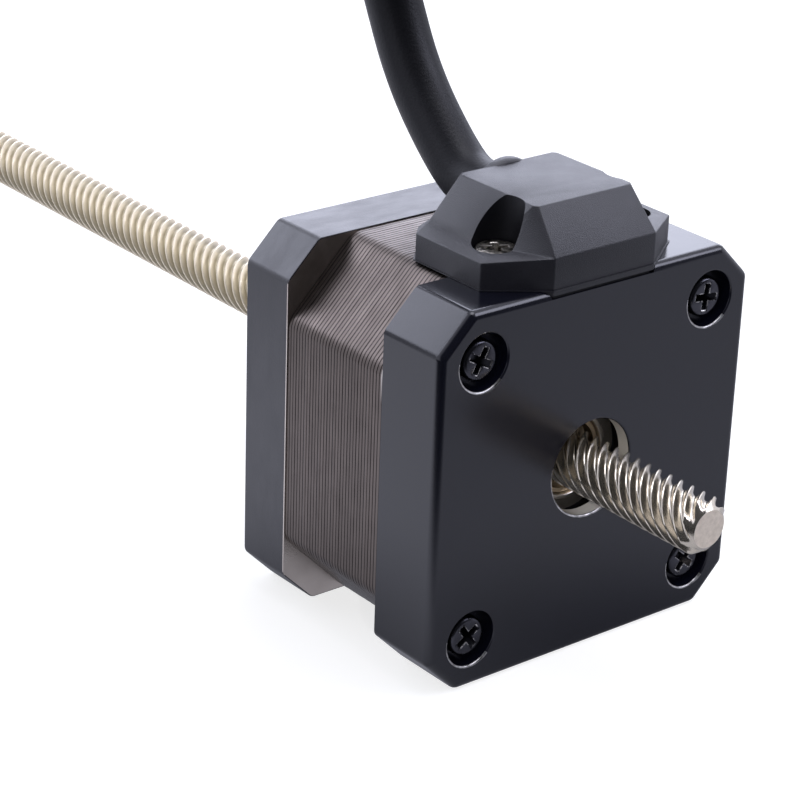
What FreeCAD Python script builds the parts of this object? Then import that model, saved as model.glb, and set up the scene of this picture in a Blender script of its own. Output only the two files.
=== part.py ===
"""Linear stepper motor: a square hybrid motor with a threaded rod through its hollow rotor.

Millimetres. The origin is the centre of the flange's mounting face, +Y points out of the flange along the
threaded rod, +Z is up and the motor lies on its lower flats. Pieces on the motor's axis are modelled in a local
frame whose Z is the depth behind the mounting face and whose Y is up.
"""
import FreeCAD, Part
import math
import os
import re
import Sketcher

# Driving dimensions: name, value, meaning
SIZES = [
    ("FrameSize", 42.3, "flange and rear cover across flats"),
    ("FrameChamfer", 4.0, "corner cut of the flange and the rear cover"),
    ("BoltSpacing", 31.0, "square spacing of the mounting and body screws"),
    ("FlangeLength", 7.3, "front flange"),
    ("StackLength", 16.0, "lamination stack"),
    ("RegisterGap", 0.2, "open groove between the stack and the rear cover"),
    ("CoverLength", 9.0, "rear cover"),
    ("FaceRounding", 1.0, "rounded outer edge of the rear cover's face"),
    ("PilotDia", 22.0, "centring boss on the flange"),
    ("PilotHeight", 2.0, "centring boss on the flange"),
    ("TapDia", 2.5, "tapped mounting hole"),
    ("TapDepth", 4.5, "tapped mounting hole"),
    ("ThroughBore", 10.8, "hole in both ends that the rod passes through"),
    ("FlangeWall", 2.5, "flange's wall in front of the windings"),
    ("CoverWall", 4.0, "rear cover's wall behind the windings"),
    ("EndWall", 1.75, "rear cover's wall at the through bore"),
    ("HubDia", 23.0, "boss around each bearing seat"),
    ("WindingRoom", 36.0, "round hollow for the end turns"),
    ("RegisterDia", 40.6, "ring on the rear cover that meets the stack"),
    ("BodyScrewDia", 3.0, "body screw thread"),
    ("BodyScrewGap", 0.1, "radial room around a body screw"),
    ("BodyScrewTip", 4.7, "depth of the body screws' tips behind the mounting face"),
    ("BodyHeadDia", 4.7, "body screw head"),
    ("BodyHeadHeight", 2.25, "body screw head"),
    ("CounterboreDia", 6.2, "recess of a body screw head"),
    ("CounterboreDepth", 2.8, "recess of a body screw head"),
    ("StackInset", 0.15, "lamination's flats behind those of the flange"),
    ("StackChamfer", 8.15, "corner cut of a lamination"),
    ("StackRounding", 1.4, "rounding at the ends of a lamination's corner cut"),
    ("StatorBore", 24.2, "stator bore"),
    ("PoleCount", 8, "stator poles"),
    ("SlotMouth", 1.1, "gap between two pole shoes"),
    ("ShoeThick", 1.7, "pole shoe at the slot mouth"),
    ("SlotInnerWidth", 6.9, "slot width under the shoes"),
    ("SlotOuterWidth", 8.9, "slot width at its widest"),
    ("SlotInnerRadius", 14.4, "radius of the slot's inner corners"),
    ("SlotOuterRadius", 16.8, "radius of the slot's widest place"),
    ("SlotFloorRadius", 18.4, "radius of the slot's floor"),
    ("SlotFloorWidth", 4.0, "width of the slot's floor"),
    ("ToothPitch", 7.2, "angle from tooth to tooth, in degrees"),
    ("StatorNotchWidth", 0.76, "gap between stator teeth"),
    ("StatorNotchDepth", 0.6, "gap between stator teeth"),
    ("AirGap", 0.3, "radial gap between rotor and stator"),
    ("RotorTeeth", 50, "teeth on each rotor cup"),
    ("RotorNotchWidth", 0.75, "gap between rotor teeth"),
    ("RotorNotchDepth", 0.7, "gap between rotor teeth"),
    ("CupLength", 5.6, "rotor cup"),
    ("MagnetLength", 3.0, "rotor magnet"),
    ("MagnetDia", 21.0, "rotor magnet"),
    ("InsulatorThick", 0.8, "insulator arm over a pole"),
    ("InsulatorRim", 3.5, "height of the insulator's rims"),
    ("InsulatorInnerDia", 25.8, "inside of the inner rim"),
    ("InnerRimWidth", 1.4, "inner rim"),
    ("OuterRimBore", 35.0, "inside of the outer rim"),
    ("OuterRimWidth", 0.4, "outer rim"),
    ("ArmWidth", 4.4, "insulator arm"),
    ("CoilRadius", 14.75, "radius of a coil's inner face"),
    ("CoilThick", 1.7, "radial size of a coil"),
    ("CoilHole", 5.2, "width of the hole in a coil"),
    ("CoilWidth", 11.2, "outer width of a coil"),
    ("CoilOverhang", 3.2, "end turns beyond the stack"),
    ("CoilRounding", 1.5, "rounded corners of a coil"),
    ("BearingBore", 10.0, "ball bearing"),
    ("BearingDia", 19.0, "ball bearing"),
    ("BearingWidth", 5.0, "ball bearing"),
    ("InnerRingDia", 12.4, "outside of the inner ring"),
    ("OuterRingBore", 16.4, "inside of the outer ring"),
    ("SealThick", 0.5, "bearing seal"),
    ("SealInset", 0.2, "bearing seal behind the ring's face"),
    ("SealGap", 0.15, "radial gap of a seal at the inner ring"),
    ("FitGap", 0.01, "radial room in a fit"),
    ("FrontSeat", 2.0, "depth of the front bearing's shoulder"),
    ("RearSeat", 3.6, "rear bearing's distance from the rear face"),
    ("SpringThick", 0.4, "disc spring"),
    ("SpringBore", 14.0, "disc spring"),
    ("SpringRim", 0.2, "radial room around the disc spring"),
    ("SleeveFront", 1.4, "sleeve end's depth behind the mounting face"),
    ("SleeveRear", 3.4, "sleeve end's distance from the rear face"),
    ("SleeveBore", 8.8, "sleeve bore that holds the nut"),
    ("SleeveFrontBore", 7.4, "sleeve bore in front of the nut"),
    ("NutShoulder", 6.0, "depth of the shoulder that the nut stops at"),
    ("NutRecess", 0.5, "nut end inside the sleeve's end"),
    ("NutRelief", 7.6, "widened mouth of the nut"),
    ("NutReliefDepth", 1.2, "widened mouth of the nut"),
    ("SpacerDia", 13.0, "rings beside the bearings"),
    ("RodDia", 6.35, "threaded rod"),
    ("RodFront", 100.0, "rod end in front of the mounting face"),
    ("RodRear", 50.0, "rod end behind the mounting face"),
    ("RodEndDia", 4.4, "flat on the rod's end"),
    ("RodChamfer", 1.0, "chamfer length on the rod's end"),
    ("JournalLength", 8.0, "plain end of the rod, turned to the diameter of its end"),
    ("JournalChamfer", 0.4, "chamfer on the plain end"),
    ("RodGap", 0.05, "radial running gap of the rod in the nut"),
    ("SeatDrop", 0.85, "cable cover's seat under the rear cover's upper flat"),
    ("SeatRoom", 0.1, "gap around the cable cover in its seat"),
    ("SealPlate", 0.35, "seal under the cable cover"),
    ("CapLength", 16.1, "cable cover from the rear face to its front wall"),
    ("CapWidth", 25.8, "cable cover across its side walls"),
    ("CapNose", 13.7, "width of the cable cover's end walls"),
    ("CapCorner", 4.3, "length of the cable cover's slanted corner walls"),
    ("CapFrontCut", 1.5, "small cut at the corners of the cable cover's front wall"),
    ("CapFrontDraft", 0.3, "lean of the front wall over its height"),
    ("CapSideRise", 2.95, "top of the side walls above the upper flat"),
    ("CapEndRise", 3.55, "top of the end walls and foot of the hump above the upper flat"),
    ("CapRise", 7.85, "top of the cable cover above the upper flat"),
    ("CapTopWidth", 13.2, "flat top of the cable cover"),
    ("CapTopInset", 3.6, "slope of the rear end face"),
    ("CapTopCorner", 0.4, "small cut at the flat top's corners"),
    ("HumpWidth", 20.4, "hump across its foot"),
    ("HumpCorner", 6.3, "length of the hump's slanted corners"),
    ("StackRoom", 0.1, "gap under the cable cover above the stack"),
    ("CapCavityWidth", 10.6, "hollow inside the cable cover"),
    ("CapWallThick", 1.3, "cable cover's end wall"),
    ("CapCeiling", 1.6, "cable cover's roof over its hollow"),
    ("CapFrontThick", 1.3, "front wall, which holds the cable's collar"),
    ("WellDia", 5.25, "screw well in the cable cover"),
    ("WellRise", 1.05, "floor of the screw well above the upper flat"),
    ("WellSpacing", 17.6, "distance between the screw wells"),
    ("WellInset", 2.3, "screw wells behind the rear cover's front face"),
    ("CapScrewDia", 2.5, "cable cover screw"),
    ("CapScrewGap", 0.1, "radial room around a cable cover screw"),
    ("CapHeadDia", 4.6, "cable cover screw head"),
    ("CapHeadHeight", 2.1, "cable cover screw head"),
    ("CapScrewLength", 5.2, "cable cover screw under its head"),
    ("WindowWidth", 9.0, "lead window in the rear cover"),
    ("WindowLength", 3.6, "lead window in the rear cover"),
    ("BossDia", 9.6, "round boss that the cable leaves"),
    ("BossLip", 0.2, "boss's end beyond the collar in it"),
    ("CableDia", 6.2, "jacketed cable"),
    ("GlandDia", 7.6, "collar on the cable"),
    ("GlandGap", 0.05, "radial room of the cable in its collar"),
    ("GlandLength", 1.7, "collar on the cable"),
    ("GlandStart", 0.7, "collar's length behind the cable's end"),
    ("BoardWidth", 10.4, "lead board"),
    ("BoardLength", 5.0, "lead board"),
    ("BoardThick", 1.0, "lead board"),
    ("BoardInset", 1.9, "lead board behind the cable cover's front wall"),
    ("PinDia", 0.8, "lead board pin"),
    ("PinHeight", 2.6, "lead board pin above the board"),
    ("PinSpacing", 2.5, "lead board pins"),
    ("PinCount", 4, "lead board pins and plug contacts"),
    ("PlugDia", 10.0, "plug body"),
    ("PlugNeckDia", 6.8, "plug body at the cable"),
    ("PlugTaper", 8.0, "tapered part of the plug body"),
    ("PlugLength", 22.0, "plug body"),
    ("PlugShellDia", 8.4, "plug shell"),
    ("PlugShellBore", 6.8, "plug shell"),
    ("PlugShellLength", 10.0, "plug shell"),
    ("InsertRecess", 0.6, "socket insert behind the shell's end"),
    ("ContactDia", 1.0, "plug contact"),
    ("ContactCircle", 3.6, "circle that the plug contacts stand on"),
    ("ContactLength", 6.0, "plug contact"),
    ("SocketDepth", 7.5, "hole of a contact in the socket insert"),
]

# Points that the cable follows: across, along from the cable cover's front wall, and up from the upper flat
CABLE_RISING = [
    (0.0, -0.6, 3.65),
    (0.0, 4.5, 3.65),
    (0.0, 8.7, 6.05),
    (0.0, 15.5, 12.85),
    (0.0, 19.9, 21.25),
    (-1.5, 22.4, 31.35),
    (-6.0, 24.9, 40.85),
    (-13.0, 27.4, 48.85),
    (-22.0, 29.9, 54.35),
    (-32.5, 32.4, 56.85),
    (-43.0, 34.9, 55.85),
    (-53.0, 37.4, 51.35),
    (-61.5, 39.4, 44.35),
    (-68.5, 41.4, 34.35),
    (-74.0, 43.4, 18.85),
    (-77.0, 46.4, 0.85),
]
# The rest of them: across, along from the same wall, and up from the surface that the motor lies on
CABLE_LYING = [
    (-78.5, 52.9, 26.65),
    (-79.0, 62.4, 14.15),
    (-79.0, 73.9, 6.15),
    (-77.5, 86.9, 3.15),
    (-72.0, 98.4, 3.15),
    (-62.0, 106.9, 3.55),
    (-49.5, 110.9, 5.0),
    (-36.5, 112.4, 5.0),
]
CORNER_SHARE = 0.45
VOLUME_TOLERANCE = 0.005

doc = FreeCAD.newDocument("LinearStepper")
sheet = doc.addObject("Spreadsheet::Sheet", "Sizes")
for row, (alias, size, meaning) in enumerate(SIZES, start=1):
    sheet.set(f"A{row}", meaning)
    sheet.set(f"B{row}", str(size))
    sheet.setAlias(f"B{row}", alias)
doc.recompute()

AXIAL = FreeCAD.Placement(FreeCAD.Vector(0, 0, 0), FreeCAD.Rotation(FreeCAD.Vector(1, 0, 0), 90))
UPRIGHT = FreeCAD.Placement()
nodes = []


def linked(text):
    """Expression text with every size named through the sheet."""
    return re.sub(r"\b([A-Z][A-Za-z]+)\b", r"Sizes.\1", str(text))


def value(text):
    """Number that an expression of sizes gives."""
    return float(sheet.evalExpression(re.sub(r"\bSizes\.", "", linked(text))))


def bind(item, target, text):
    """Tie one property of an object to an expression of sizes."""
    item.setExpression(target, linked(text))


def new_body(label, placement=AXIAL):
    """Empty body for one piece."""
    body = doc.addObject("PartDesign::Body", label)
    body.Label = label
    body.Placement = placement
    nodes.append(body)
    return body


def origin_feature(body, role):
    """Origin plane or axis of a body."""
    return next(item for item in body.Origin.OriginFeatures if item.Role == role)


def new_sketch(body, plane="XY_Plane", offset="0", turn="0"):
    """Sketch on one of the body's own planes, moved along its normal and turned in it."""
    sketch = body.newObject("Sketcher::SketchObject", "Sketch")
    sketch.AttachmentSupport = [(origin_feature(body, plane), "")]
    sketch.MapMode = "FlatFace"
    bind(sketch, "AttachmentOffset.Base.z", offset)
    bind(sketch, "AttachmentOffset.Rotation.Angle", turn)
    return sketch


def fix_point(sketch, geometry, end, x, y):
    """Tie one point of a sketch to two expressions."""
    for kind, text in (("DistanceX", x), ("DistanceY", y)):
        index = sketch.addConstraint(Sketcher.Constraint(kind, -1, 1, geometry, end, value(text)))
        bind(sketch, f"Constraints[{index}]", text)


def outline(sketch, points):
    """Closed polygon whose corners are pairs of expressions."""
    corners = [FreeCAD.Vector(value(x), value(y), 0) for x, y in points]
    count = len(points)
    first = sketch.GeometryCount
    for number in range(count):
        sketch.addGeometry(Part.LineSegment(corners[number], corners[(number + 1) % count]))
    for number in range(count):
        following = first + (number + 1) % count
        sketch.addConstraint(Sketcher.Constraint("Coincident", first + number, 2, following, 1))
    for number, (x, y) in enumerate(points):
        fix_point(sketch, first + number, 1, x, y)


def circle(sketch, x, y, diameter):
    """Circle whose centre and diameter are expressions."""
    centre = FreeCAD.Vector(value(x), value(y), 0)
    normal = FreeCAD.Vector(0, 0, 1)
    number = sketch.addGeometry(Part.Circle(centre, normal, value(diameter) / 2))
    fix_point(sketch, number, 3, x, y)
    index = sketch.addConstraint(Sketcher.Constraint("Diameter", number, value(diameter)))
    bind(sketch, f"Constraints[{index}]", diameter)


def square_of_circles(sketch, spacing, diameter):
    """Four circles on the corners of a square."""
    for across in (-1, 1):
        for up in (-1, 1):
            circle(sketch, f"{across} * {spacing} / 2", f"{up} * {spacing} / 2", diameter)


def chamfered_square(sketch, size, chamfer):
    """Square outline with its corners cut off."""
    half = f"{size} / 2"
    short = f"({size} / 2 - {chamfer})"
    outline(
        sketch,
        [
            (half, f"-1 * {short}"),
            (half, short),
            (short, half),
            (f"-1 * {short}", half),
            (f"-1 * {half}", short),
            (f"-1 * {half}", f"-1 * {short}"),
            (f"-1 * {short}", f"-1 * {half}"),
            (short, f"-1 * {half}"),
        ],
    )


def rectangle(sketch, left, right, low, high):
    """Rectangle between four expressions."""
    outline(sketch, [(left, low), (right, low), (right, high), (left, high)])


def pad(body, sketch, length, reverse=False):
    """Extruded solid."""
    feature = body.newObject("PartDesign::Pad", "Pad")
    feature.Profile = sketch
    feature.Reversed = reverse
    bind(feature, "Length", length)
    doc.recompute()
    return feature


def pocket(body, sketch, length, reverse=False):
    """Cut of a given depth, which has to take material away."""
    before = body.Shape.Volume
    feature = body.newObject("PartDesign::Pocket", "Pocket")
    feature.Profile = sketch
    feature.Reversed = reverse
    bind(feature, "Length", length)
    doc.recompute()
    if not body.Shape.Volume < before:
        raise RuntimeError(f"{body.Label}: a pocket cuts nothing")
    return feature


def polar(body, feature, count):
    """Copies of a feature around the body's own Z axis."""
    pattern = body.newObject("PartDesign::PolarPattern", "PolarPattern")
    pattern.Originals = [feature]
    pattern.Axis = (origin_feature(body, "Z_Axis"), [""])
    pattern.Angle = 360
    bind(pattern, "Occurrences", count)
    body.Tip = pattern
    doc.recompute()
    return pattern


def fillet(body, feature, edges, radius):
    """Rounded edges of a feature, given as edge numbers."""
    rounding = body.newObject("PartDesign::Fillet", "Fillet")
    rounding.Base = (feature, [f"Edge{number}" for number in edges])
    bind(rounding, "Radius", radius)
    doc.recompute()
    return rounding


def chamfer(body, feature, edges, size):
    """Edges of a feature cut at an angle, given as edge numbers."""
    cut = body.newObject("PartDesign::Chamfer", "Chamfer")
    cut.Base = (feature, [f"Edge{number}" for number in edges])
    bind(cut, "Size", size)
    doc.recompute()
    return cut


def edges_at(shape, test):
    """Numbers of the edges whose every vertex passes a test."""
    found = []
    for number, edge in enumerate(shape.Edges, start=1):
        if all(test(vertex.Point) for vertex in edge.Vertexes):
            found.append(number)
    return found


def revolved(label, profile, placement=AXIAL):
    """Turned piece from a profile of (radius, depth) pairs."""
    body = new_body(label, placement)
    sketch = new_sketch(body, "XZ_Plane")
    outline(sketch, profile)
    feature = body.newObject("PartDesign::Revolution", "Revolution")
    feature.Profile = sketch
    feature.ReferenceAxis = (sketch, ["V_Axis"])
    feature.Angle = 360
    doc.recompute()
    return body


def ring(label, bore, diameter, start, end):
    """Plain ring between two depths."""
    inner = f"({bore}) / 2"
    outer = f"({diameter}) / 2"
    return revolved(label, [(inner, start), (outer, start), (outer, end), (inner, end)])


# Depths that several pieces share
STACK_FRONT = "FlangeLength"
STACK_REAR = "(FlangeLength + StackLength)"
COVER_FRONT = "(FlangeLength + StackLength + RegisterGap)"
COVER_REAR = "(FlangeLength + StackLength + RegisterGap + CoverLength)"
REAR_BEARING = f"({COVER_REAR} - RearSeat)"
SPRING_SEAT = f"({COVER_REAR} - EndWall)"
ROTOR_MIDDLE = "(FlangeLength + StackLength / 2)"
CUP_FRONT = f"({ROTOR_MIDDLE} - MagnetLength / 2 - CupLength)"
CUP_REAR = f"({ROTOR_MIDDLE} + MagnetLength / 2 + CupLength)"
BODY_SEAT = f"({COVER_REAR} - CounterboreDepth)"
BODY_HOLE = "(BodyScrewDia + 2 * BodyScrewGap)"
STACK_SIZE = "(FrameSize - 2 * StackInset)"
STACK_TOP = "(FrameSize / 2 - StackInset)"
STACK_CLEAR = "(FrameSize / 2 - StackInset + StackRoom)"
SEAT_FLOOR = "(FrameSize / 2 - SeatDrop)"
CAP_LOW = "(FrameSize / 2 - SeatDrop + SealPlate)"
CAP_TOP = "(FrameSize / 2 + CapRise)"
WELL_FLOOR = "(FrameSize / 2 + WellRise)"
WELL_PLACE = f"({COVER_FRONT} + WellInset)"
CAP_REAR = COVER_REAR
CAP_FRONT = f"({COVER_REAR} - CapLength)"
CAVITY_REAR = f"(-1 * {CAP_REAR} + CapTopInset + CapWallThick)"
BOARD_FRONT = f"({CAP_FRONT} + BoardInset)"


def make_front_flange():
    """Flange with pilot, tapped holes, bearing seat and a round hollow for the end turns."""
    body = new_body("front_flange")
    sketch = new_sketch(body)
    chamfered_square(sketch, "FrameSize", "FrameChamfer")
    pad(body, sketch, "FlangeLength")
    sketch = new_sketch(body)
    circle(sketch, "0", "0", "PilotDia")
    pad(body, sketch, "PilotHeight", reverse=True)
    sketch = new_sketch(body, offset="FlangeLength")
    circle(sketch, "0", "0", "WindingRoom")
    circle(sketch, "0", "0", "HubDia")
    pocket(body, sketch, "FlangeLength - FlangeWall")
    sketch = new_sketch(body, offset="FlangeLength")
    circle(sketch, "0", "0", "BearingDia + 2 * FitGap")
    pocket(body, sketch, "FlangeLength - FrontSeat")
    sketch = new_sketch(body, offset="-1 * PilotHeight")
    circle(sketch, "0", "0", "ThroughBore")
    pocket(body, sketch, "PilotHeight + FrontSeat", reverse=True)
    sketch = new_sketch(body)
    square_of_circles(sketch, "BoltSpacing", "TapDia")
    pocket(body, sketch, "TapDepth", reverse=True)
    sketch = new_sketch(body, offset="FlangeLength")
    square_of_circles(sketch, "BoltSpacing", BODY_HOLE)
    pocket(body, sketch, "FlangeLength - BodyScrewTip + BodyScrewGap")


def make_rear_cover():
    """Cast cover with counterbores, bearing seat, through bore and the cable cover's seat."""
    body = new_body("rear_cover")
    sketch = new_sketch(body, offset=COVER_FRONT)
    chamfered_square(sketch, "FrameSize", "FrameChamfer")
    block = pad(body, sketch, "CoverLength")
    rear = value(COVER_REAR)
    rim = edges_at(block.Shape, lambda point: abs(point.z - rear) < 1e-6)
    fillet(body, block, rim, "FaceRounding")
    sketch = new_sketch(body, offset=COVER_FRONT)
    circle(sketch, "0", "0", "RegisterDia")
    pad(body, sketch, "RegisterGap", reverse=True)
    sketch = new_sketch(body, offset=STACK_REAR)
    circle(sketch, "0", "0", "WindingRoom")
    circle(sketch, "0", "0", "HubDia")
    pocket(body, sketch, "RegisterGap + CoverLength - CoverWall", reverse=True)
    sketch = new_sketch(body, offset=STACK_REAR)
    circle(sketch, "0", "0", "BearingDia + 2 * FitGap")
    pocket(body, sketch, "RegisterGap + CoverLength - EndWall", reverse=True)
    sketch = new_sketch(body, offset=COVER_REAR)
    circle(sketch, "0", "0", "ThroughBore")
    pocket(body, sketch, "EndWall")
    sketch = new_sketch(body, offset=COVER_REAR)
    square_of_circles(sketch, "BoltSpacing", BODY_HOLE)
    pocket(body, sketch, "CoverLength + RegisterGap")
    sketch = new_sketch(body, offset=COVER_REAR)
    square_of_circles(sketch, "BoltSpacing", "CounterboreDia")
    pocket(body, sketch, "CounterboreDepth")
    sketch = new_sketch(body, "XZ_Plane", offset="-1 * FrameSize / 2")
    tip = "(CapNose / 2 + SeatRoom)"
    side = "(CapWidth / 2 + SeatRoom)"
    corner = f"({COVER_REAR} - CapCorner)"
    outline(sketch, [
        (f"-1 * {tip}", f"{COVER_REAR} + 1"),
        (f"-1 * {tip}", COVER_REAR),
        (f"-1 * {side}", corner),
        (f"-1 * {side}", STACK_REAR),
        (side, STACK_REAR),
        (side, corner),
        (tip, COVER_REAR),
        (tip, f"{COVER_REAR} + 1"),
    ])
    pocket(body, sketch, "SeatDrop", reverse=True)
    sketch = new_sketch(body, "XZ_Plane", offset=f"-1 * {SEAT_FLOOR}")
    rectangle(sketch, "-1 * WindowWidth / 2", "WindowWidth / 2",
              f"{COVER_FRONT} + 0.5", f"{COVER_FRONT} + 0.5 + WindowLength")
    pocket(body, sketch, f"{SEAT_FLOOR} - HubDia / 2 - CapWallThick", reverse=True)
    sketch = new_sketch(body, "XZ_Plane", offset=f"-1 * {SEAT_FLOOR}")
    for side in (-1, 1):
        circle(sketch, f"{side} * WellSpacing / 2", WELL_PLACE, "CapScrewDia + 2 * CapScrewGap")
    pocket(body, sketch, f"CapScrewLength + {SEAT_FLOOR} - {WELL_FLOOR} + CapScrewGap", reverse=True)


def make_stator_stack():
    """Lamination stack: outline with rounded corner cuts, eight slots and toothed pole shoes."""
    body = new_body("stator_stack")
    sketch = new_sketch(body, offset=STACK_FRONT)
    chamfered_square(sketch, STACK_SIZE, "StackChamfer")
    block = pad(body, sketch, "StackLength")
    corners = [number for number, edge in enumerate(block.Shape.Edges, start=1)
               if abs(edge.tangentAt(edge.FirstParameter).z) > 0.5]
    fillet(body, block, corners, "StackRounding")
    sketch = new_sketch(body, offset=STACK_REAR)
    circle(sketch, "0", "0", "StatorBore")
    pocket(body, sketch, "StackLength")
    sketch = new_sketch(body, offset=STACK_REAR)
    square_of_circles(sketch, "BoltSpacing", BODY_HOLE)
    pocket(body, sketch, "StackLength")
    sketch = new_sketch(body, offset=STACK_REAR, turn="180 / PoleCount")
    half_outline = [
        ("StatorBore / 2 - 1", "SlotMouth / 2"),
        ("StatorBore / 2 + ShoeThick", "SlotMouth / 2"),
        ("SlotInnerRadius", "SlotInnerWidth / 2"),
        ("SlotOuterRadius", "SlotOuterWidth / 2"),
        ("SlotFloorRadius", "SlotFloorWidth / 2"),
    ]
    mirrored = [(x, f"-1 * {y}") for x, y in reversed(half_outline)]
    outline(sketch, half_outline + mirrored)
    polar(body, pocket(body, sketch, "StackLength"), "PoleCount")
    sketch = new_sketch(body, offset=STACK_REAR)
    for number in range(-2, 3):
        angle = f"(ToothPitch * {number})"
        corners = []
        for radius, side in (("(StatorBore / 2 - 0.5)", -1), ("(StatorBore / 2 + StatorNotchDepth)", -1),
                             ("(StatorBore / 2 + StatorNotchDepth)", 1), ("(StatorBore / 2 - 0.5)", 1)):
            across = f"({side} * StatorNotchWidth / 2)"
            corners.append((f"{radius} * cos({angle}) - {across} * sin({angle})",
                            f"{radius} * sin({angle}) + {across} * cos({angle})"))
        outline(sketch, corners)
    polar(body, pocket(body, sketch, "StackLength"), "PoleCount")


def make_insulator(label, face, direction):
    """End insulator: two rims joined by an arm over each pole."""
    body = new_body(label)
    reverse = direction < 0
    sketch = new_sketch(body, offset=face)
    circle(sketch, "0", "0", "InsulatorInnerDia")
    circle(sketch, "0", "0", "InsulatorInnerDia + 2 * InnerRimWidth")
    pad(body, sketch, "InsulatorRim", reverse)
    sketch = new_sketch(body, offset=face)
    rectangle(sketch, "InsulatorInnerDia / 2 + InnerRimWidth / 2", "OuterRimBore / 2 + OuterRimWidth / 2",
              "-1 * ArmWidth / 2", "ArmWidth / 2")
    polar(body, pad(body, sketch, "InsulatorThick", reverse), "PoleCount")
    sketch = new_sketch(body, offset=face)
    circle(sketch, "0", "0", "OuterRimBore")
    circle(sketch, "0", "0", "OuterRimBore + 2 * OuterRimWidth")
    pad(body, sketch, "InsulatorRim", reverse)


def make_windings():
    """One coil around each pole, all in one node."""
    body = new_body("stator_windings")
    body.AllowCompound = True
    sketch = new_sketch(body, "YZ_Plane", offset="CoilRadius")
    rectangle(sketch, "-1 * CoilWidth / 2", "CoilWidth / 2",
              f"{STACK_FRONT} - CoilOverhang", f"{STACK_REAR} + CoilOverhang")
    rectangle(sketch, "-1 * CoilHole / 2", "CoilHole / 2",
              f"{STACK_FRONT} - InsulatorThick", f"{STACK_REAR} + InsulatorThick")
    coil = pad(body, sketch, "CoilThick")
    reach = value("CoilWidth / 2")
    corners = [number for number, edge in enumerate(coil.Shape.Edges, start=1)
               if abs(edge.tangentAt(edge.FirstParameter).x) > 0.5
               and abs(abs(edge.Vertexes[0].Point.y) - reach) < 1e-6]
    rounded = fillet(body, coil, corners, "CoilRounding")
    pattern = body.newObject("PartDesign::PolarPattern", "PolarPattern")
    pattern.Originals = [coil, rounded]
    pattern.Axis = (origin_feature(body, "Z_Axis"), [""])
    pattern.Angle = 360
    bind(pattern, "Occurrences", "PoleCount")
    body.Tip = pattern
    doc.recompute()


def make_bearing(name, start):
    """Sealed ball bearing: outer ring, inner ring and two seals."""
    end = f"({start} + BearingWidth)"
    ring(f"{name}_bearing_outer", "OuterRingBore", "BearingDia", start, end)
    ring(f"{name}_bearing_inner", "BearingBore + 2 * FitGap", "InnerRingDia", start, end)
    body = new_body(f"{name}_bearing_seals")
    body.AllowCompound = True
    sketch = new_sketch(body, "XZ_Plane")
    for near in (f"{start} + SealInset", f"{end} - SealInset - SealThick"):
        rectangle(sketch, "InnerRingDia / 2 + SealGap", "OuterRingBore / 2", near, f"{near} + SealThick")
    feature = body.newObject("PartDesign::Revolution", "Revolution")
    feature.Profile = sketch
    feature.ReferenceAxis = (sketch, ["V_Axis"])
    feature.Angle = 360
    doc.recompute()


def make_preload_spring():
    """Disc spring between the rear cover's end wall and the rear bearing's outer ring."""
    outer = "(BearingDia / 2 - SpringRim)"
    revolved("preload_spring", [
        (outer, REAR_BEARING),
        (outer, f"{REAR_BEARING} + SpringThick"),
        ("SpringBore / 2", SPRING_SEAT),
        ("SpringBore / 2", f"{SPRING_SEAT} - SpringThick"),
    ])


def make_rotor():
    """Sleeve, nut, toothed cups, magnet and spacers."""
    sleeve_end = f"({COVER_REAR} - SleeveRear)"
    nut_end = f"({sleeve_end} - NutRecess)"
    revolved("rotor_sleeve", [
        ("SleeveFrontBore / 2", "SleeveFront"),
        ("BearingBore / 2", "SleeveFront"),
        ("BearingBore / 2", sleeve_end),
        ("SleeveBore / 2", sleeve_end),
        ("SleeveBore / 2", "NutShoulder"),
        ("SleeveFrontBore / 2", "NutShoulder"),
    ])
    revolved("drive_nut", [
        ("RodDia / 2 + RodGap", "NutShoulder"),
        ("SleeveBore / 2 - FitGap", "NutShoulder"),
        ("SleeveBore / 2 - FitGap", nut_end),
        ("NutRelief / 2", nut_end),
        ("NutRelief / 2", f"{nut_end} - NutReliefDepth"),
        ("RodDia / 2 + RodGap", f"{nut_end} - NutReliefDepth"),
    ])
    make_cup("rotor_cup_front", CUP_FRONT, "0")
    make_cup("rotor_cup_rear", f"{CUP_REAR} - CupLength", "180 / RotorTeeth")
    ring("rotor_magnet", "BearingBore + 2 * FitGap", "MagnetDia",
         f"{ROTOR_MIDDLE} - MagnetLength / 2", f"{ROTOR_MIDDLE} + MagnetLength / 2")
    ring("front_spacer", "BearingBore + 2 * FitGap", "SpacerDia", "FrontSeat + BearingWidth", CUP_FRONT)
    ring("rear_spacer", "BearingBore + 2 * FitGap", "SpacerDia", CUP_REAR, f"{REAR_BEARING} - BearingWidth")


def make_cup(label, start, turn):
    """Toothed rotor cup, turned about the axis by a share of the tooth pitch."""
    body = new_body(label)
    cup = "(StatorBore - 2 * AirGap)"
    sketch = new_sketch(body, offset=start)
    circle(sketch, "0", "0", cup)
    circle(sketch, "0", "0", "BearingBore + 2 * FitGap")
    pad(body, sketch, "CupLength")
    sketch = new_sketch(body, offset=f"{start} + CupLength", turn=turn)
    rectangle(sketch, f"{cup} / 2 - RotorNotchDepth", f"{cup} / 2 + 0.5",
              "-1 * RotorNotchWidth / 2", "RotorNotchWidth / 2")
    polar(body, pocket(body, sketch, "CupLength"), "RotorTeeth")


def make_lead_screw():
    """Threaded rod at its outside diameter, with a plain journal in front and a chamfer at the rear."""
    revolved("lead_screw", [
        ("0", "-1 * RodFront"),
        ("RodEndDia / 2 - JournalChamfer", "-1 * RodFront"),
        ("RodEndDia / 2", "-1 * RodFront + JournalChamfer"),
        ("RodEndDia / 2", "-1 * RodFront + JournalLength"),
        ("RodDia / 2", "-1 * RodFront + JournalLength + RodChamfer"),
        ("RodDia / 2", "RodRear - RodChamfer"),
        ("RodEndDia / 2", "RodRear"),
        ("0", "RodRear"),
    ])


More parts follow.
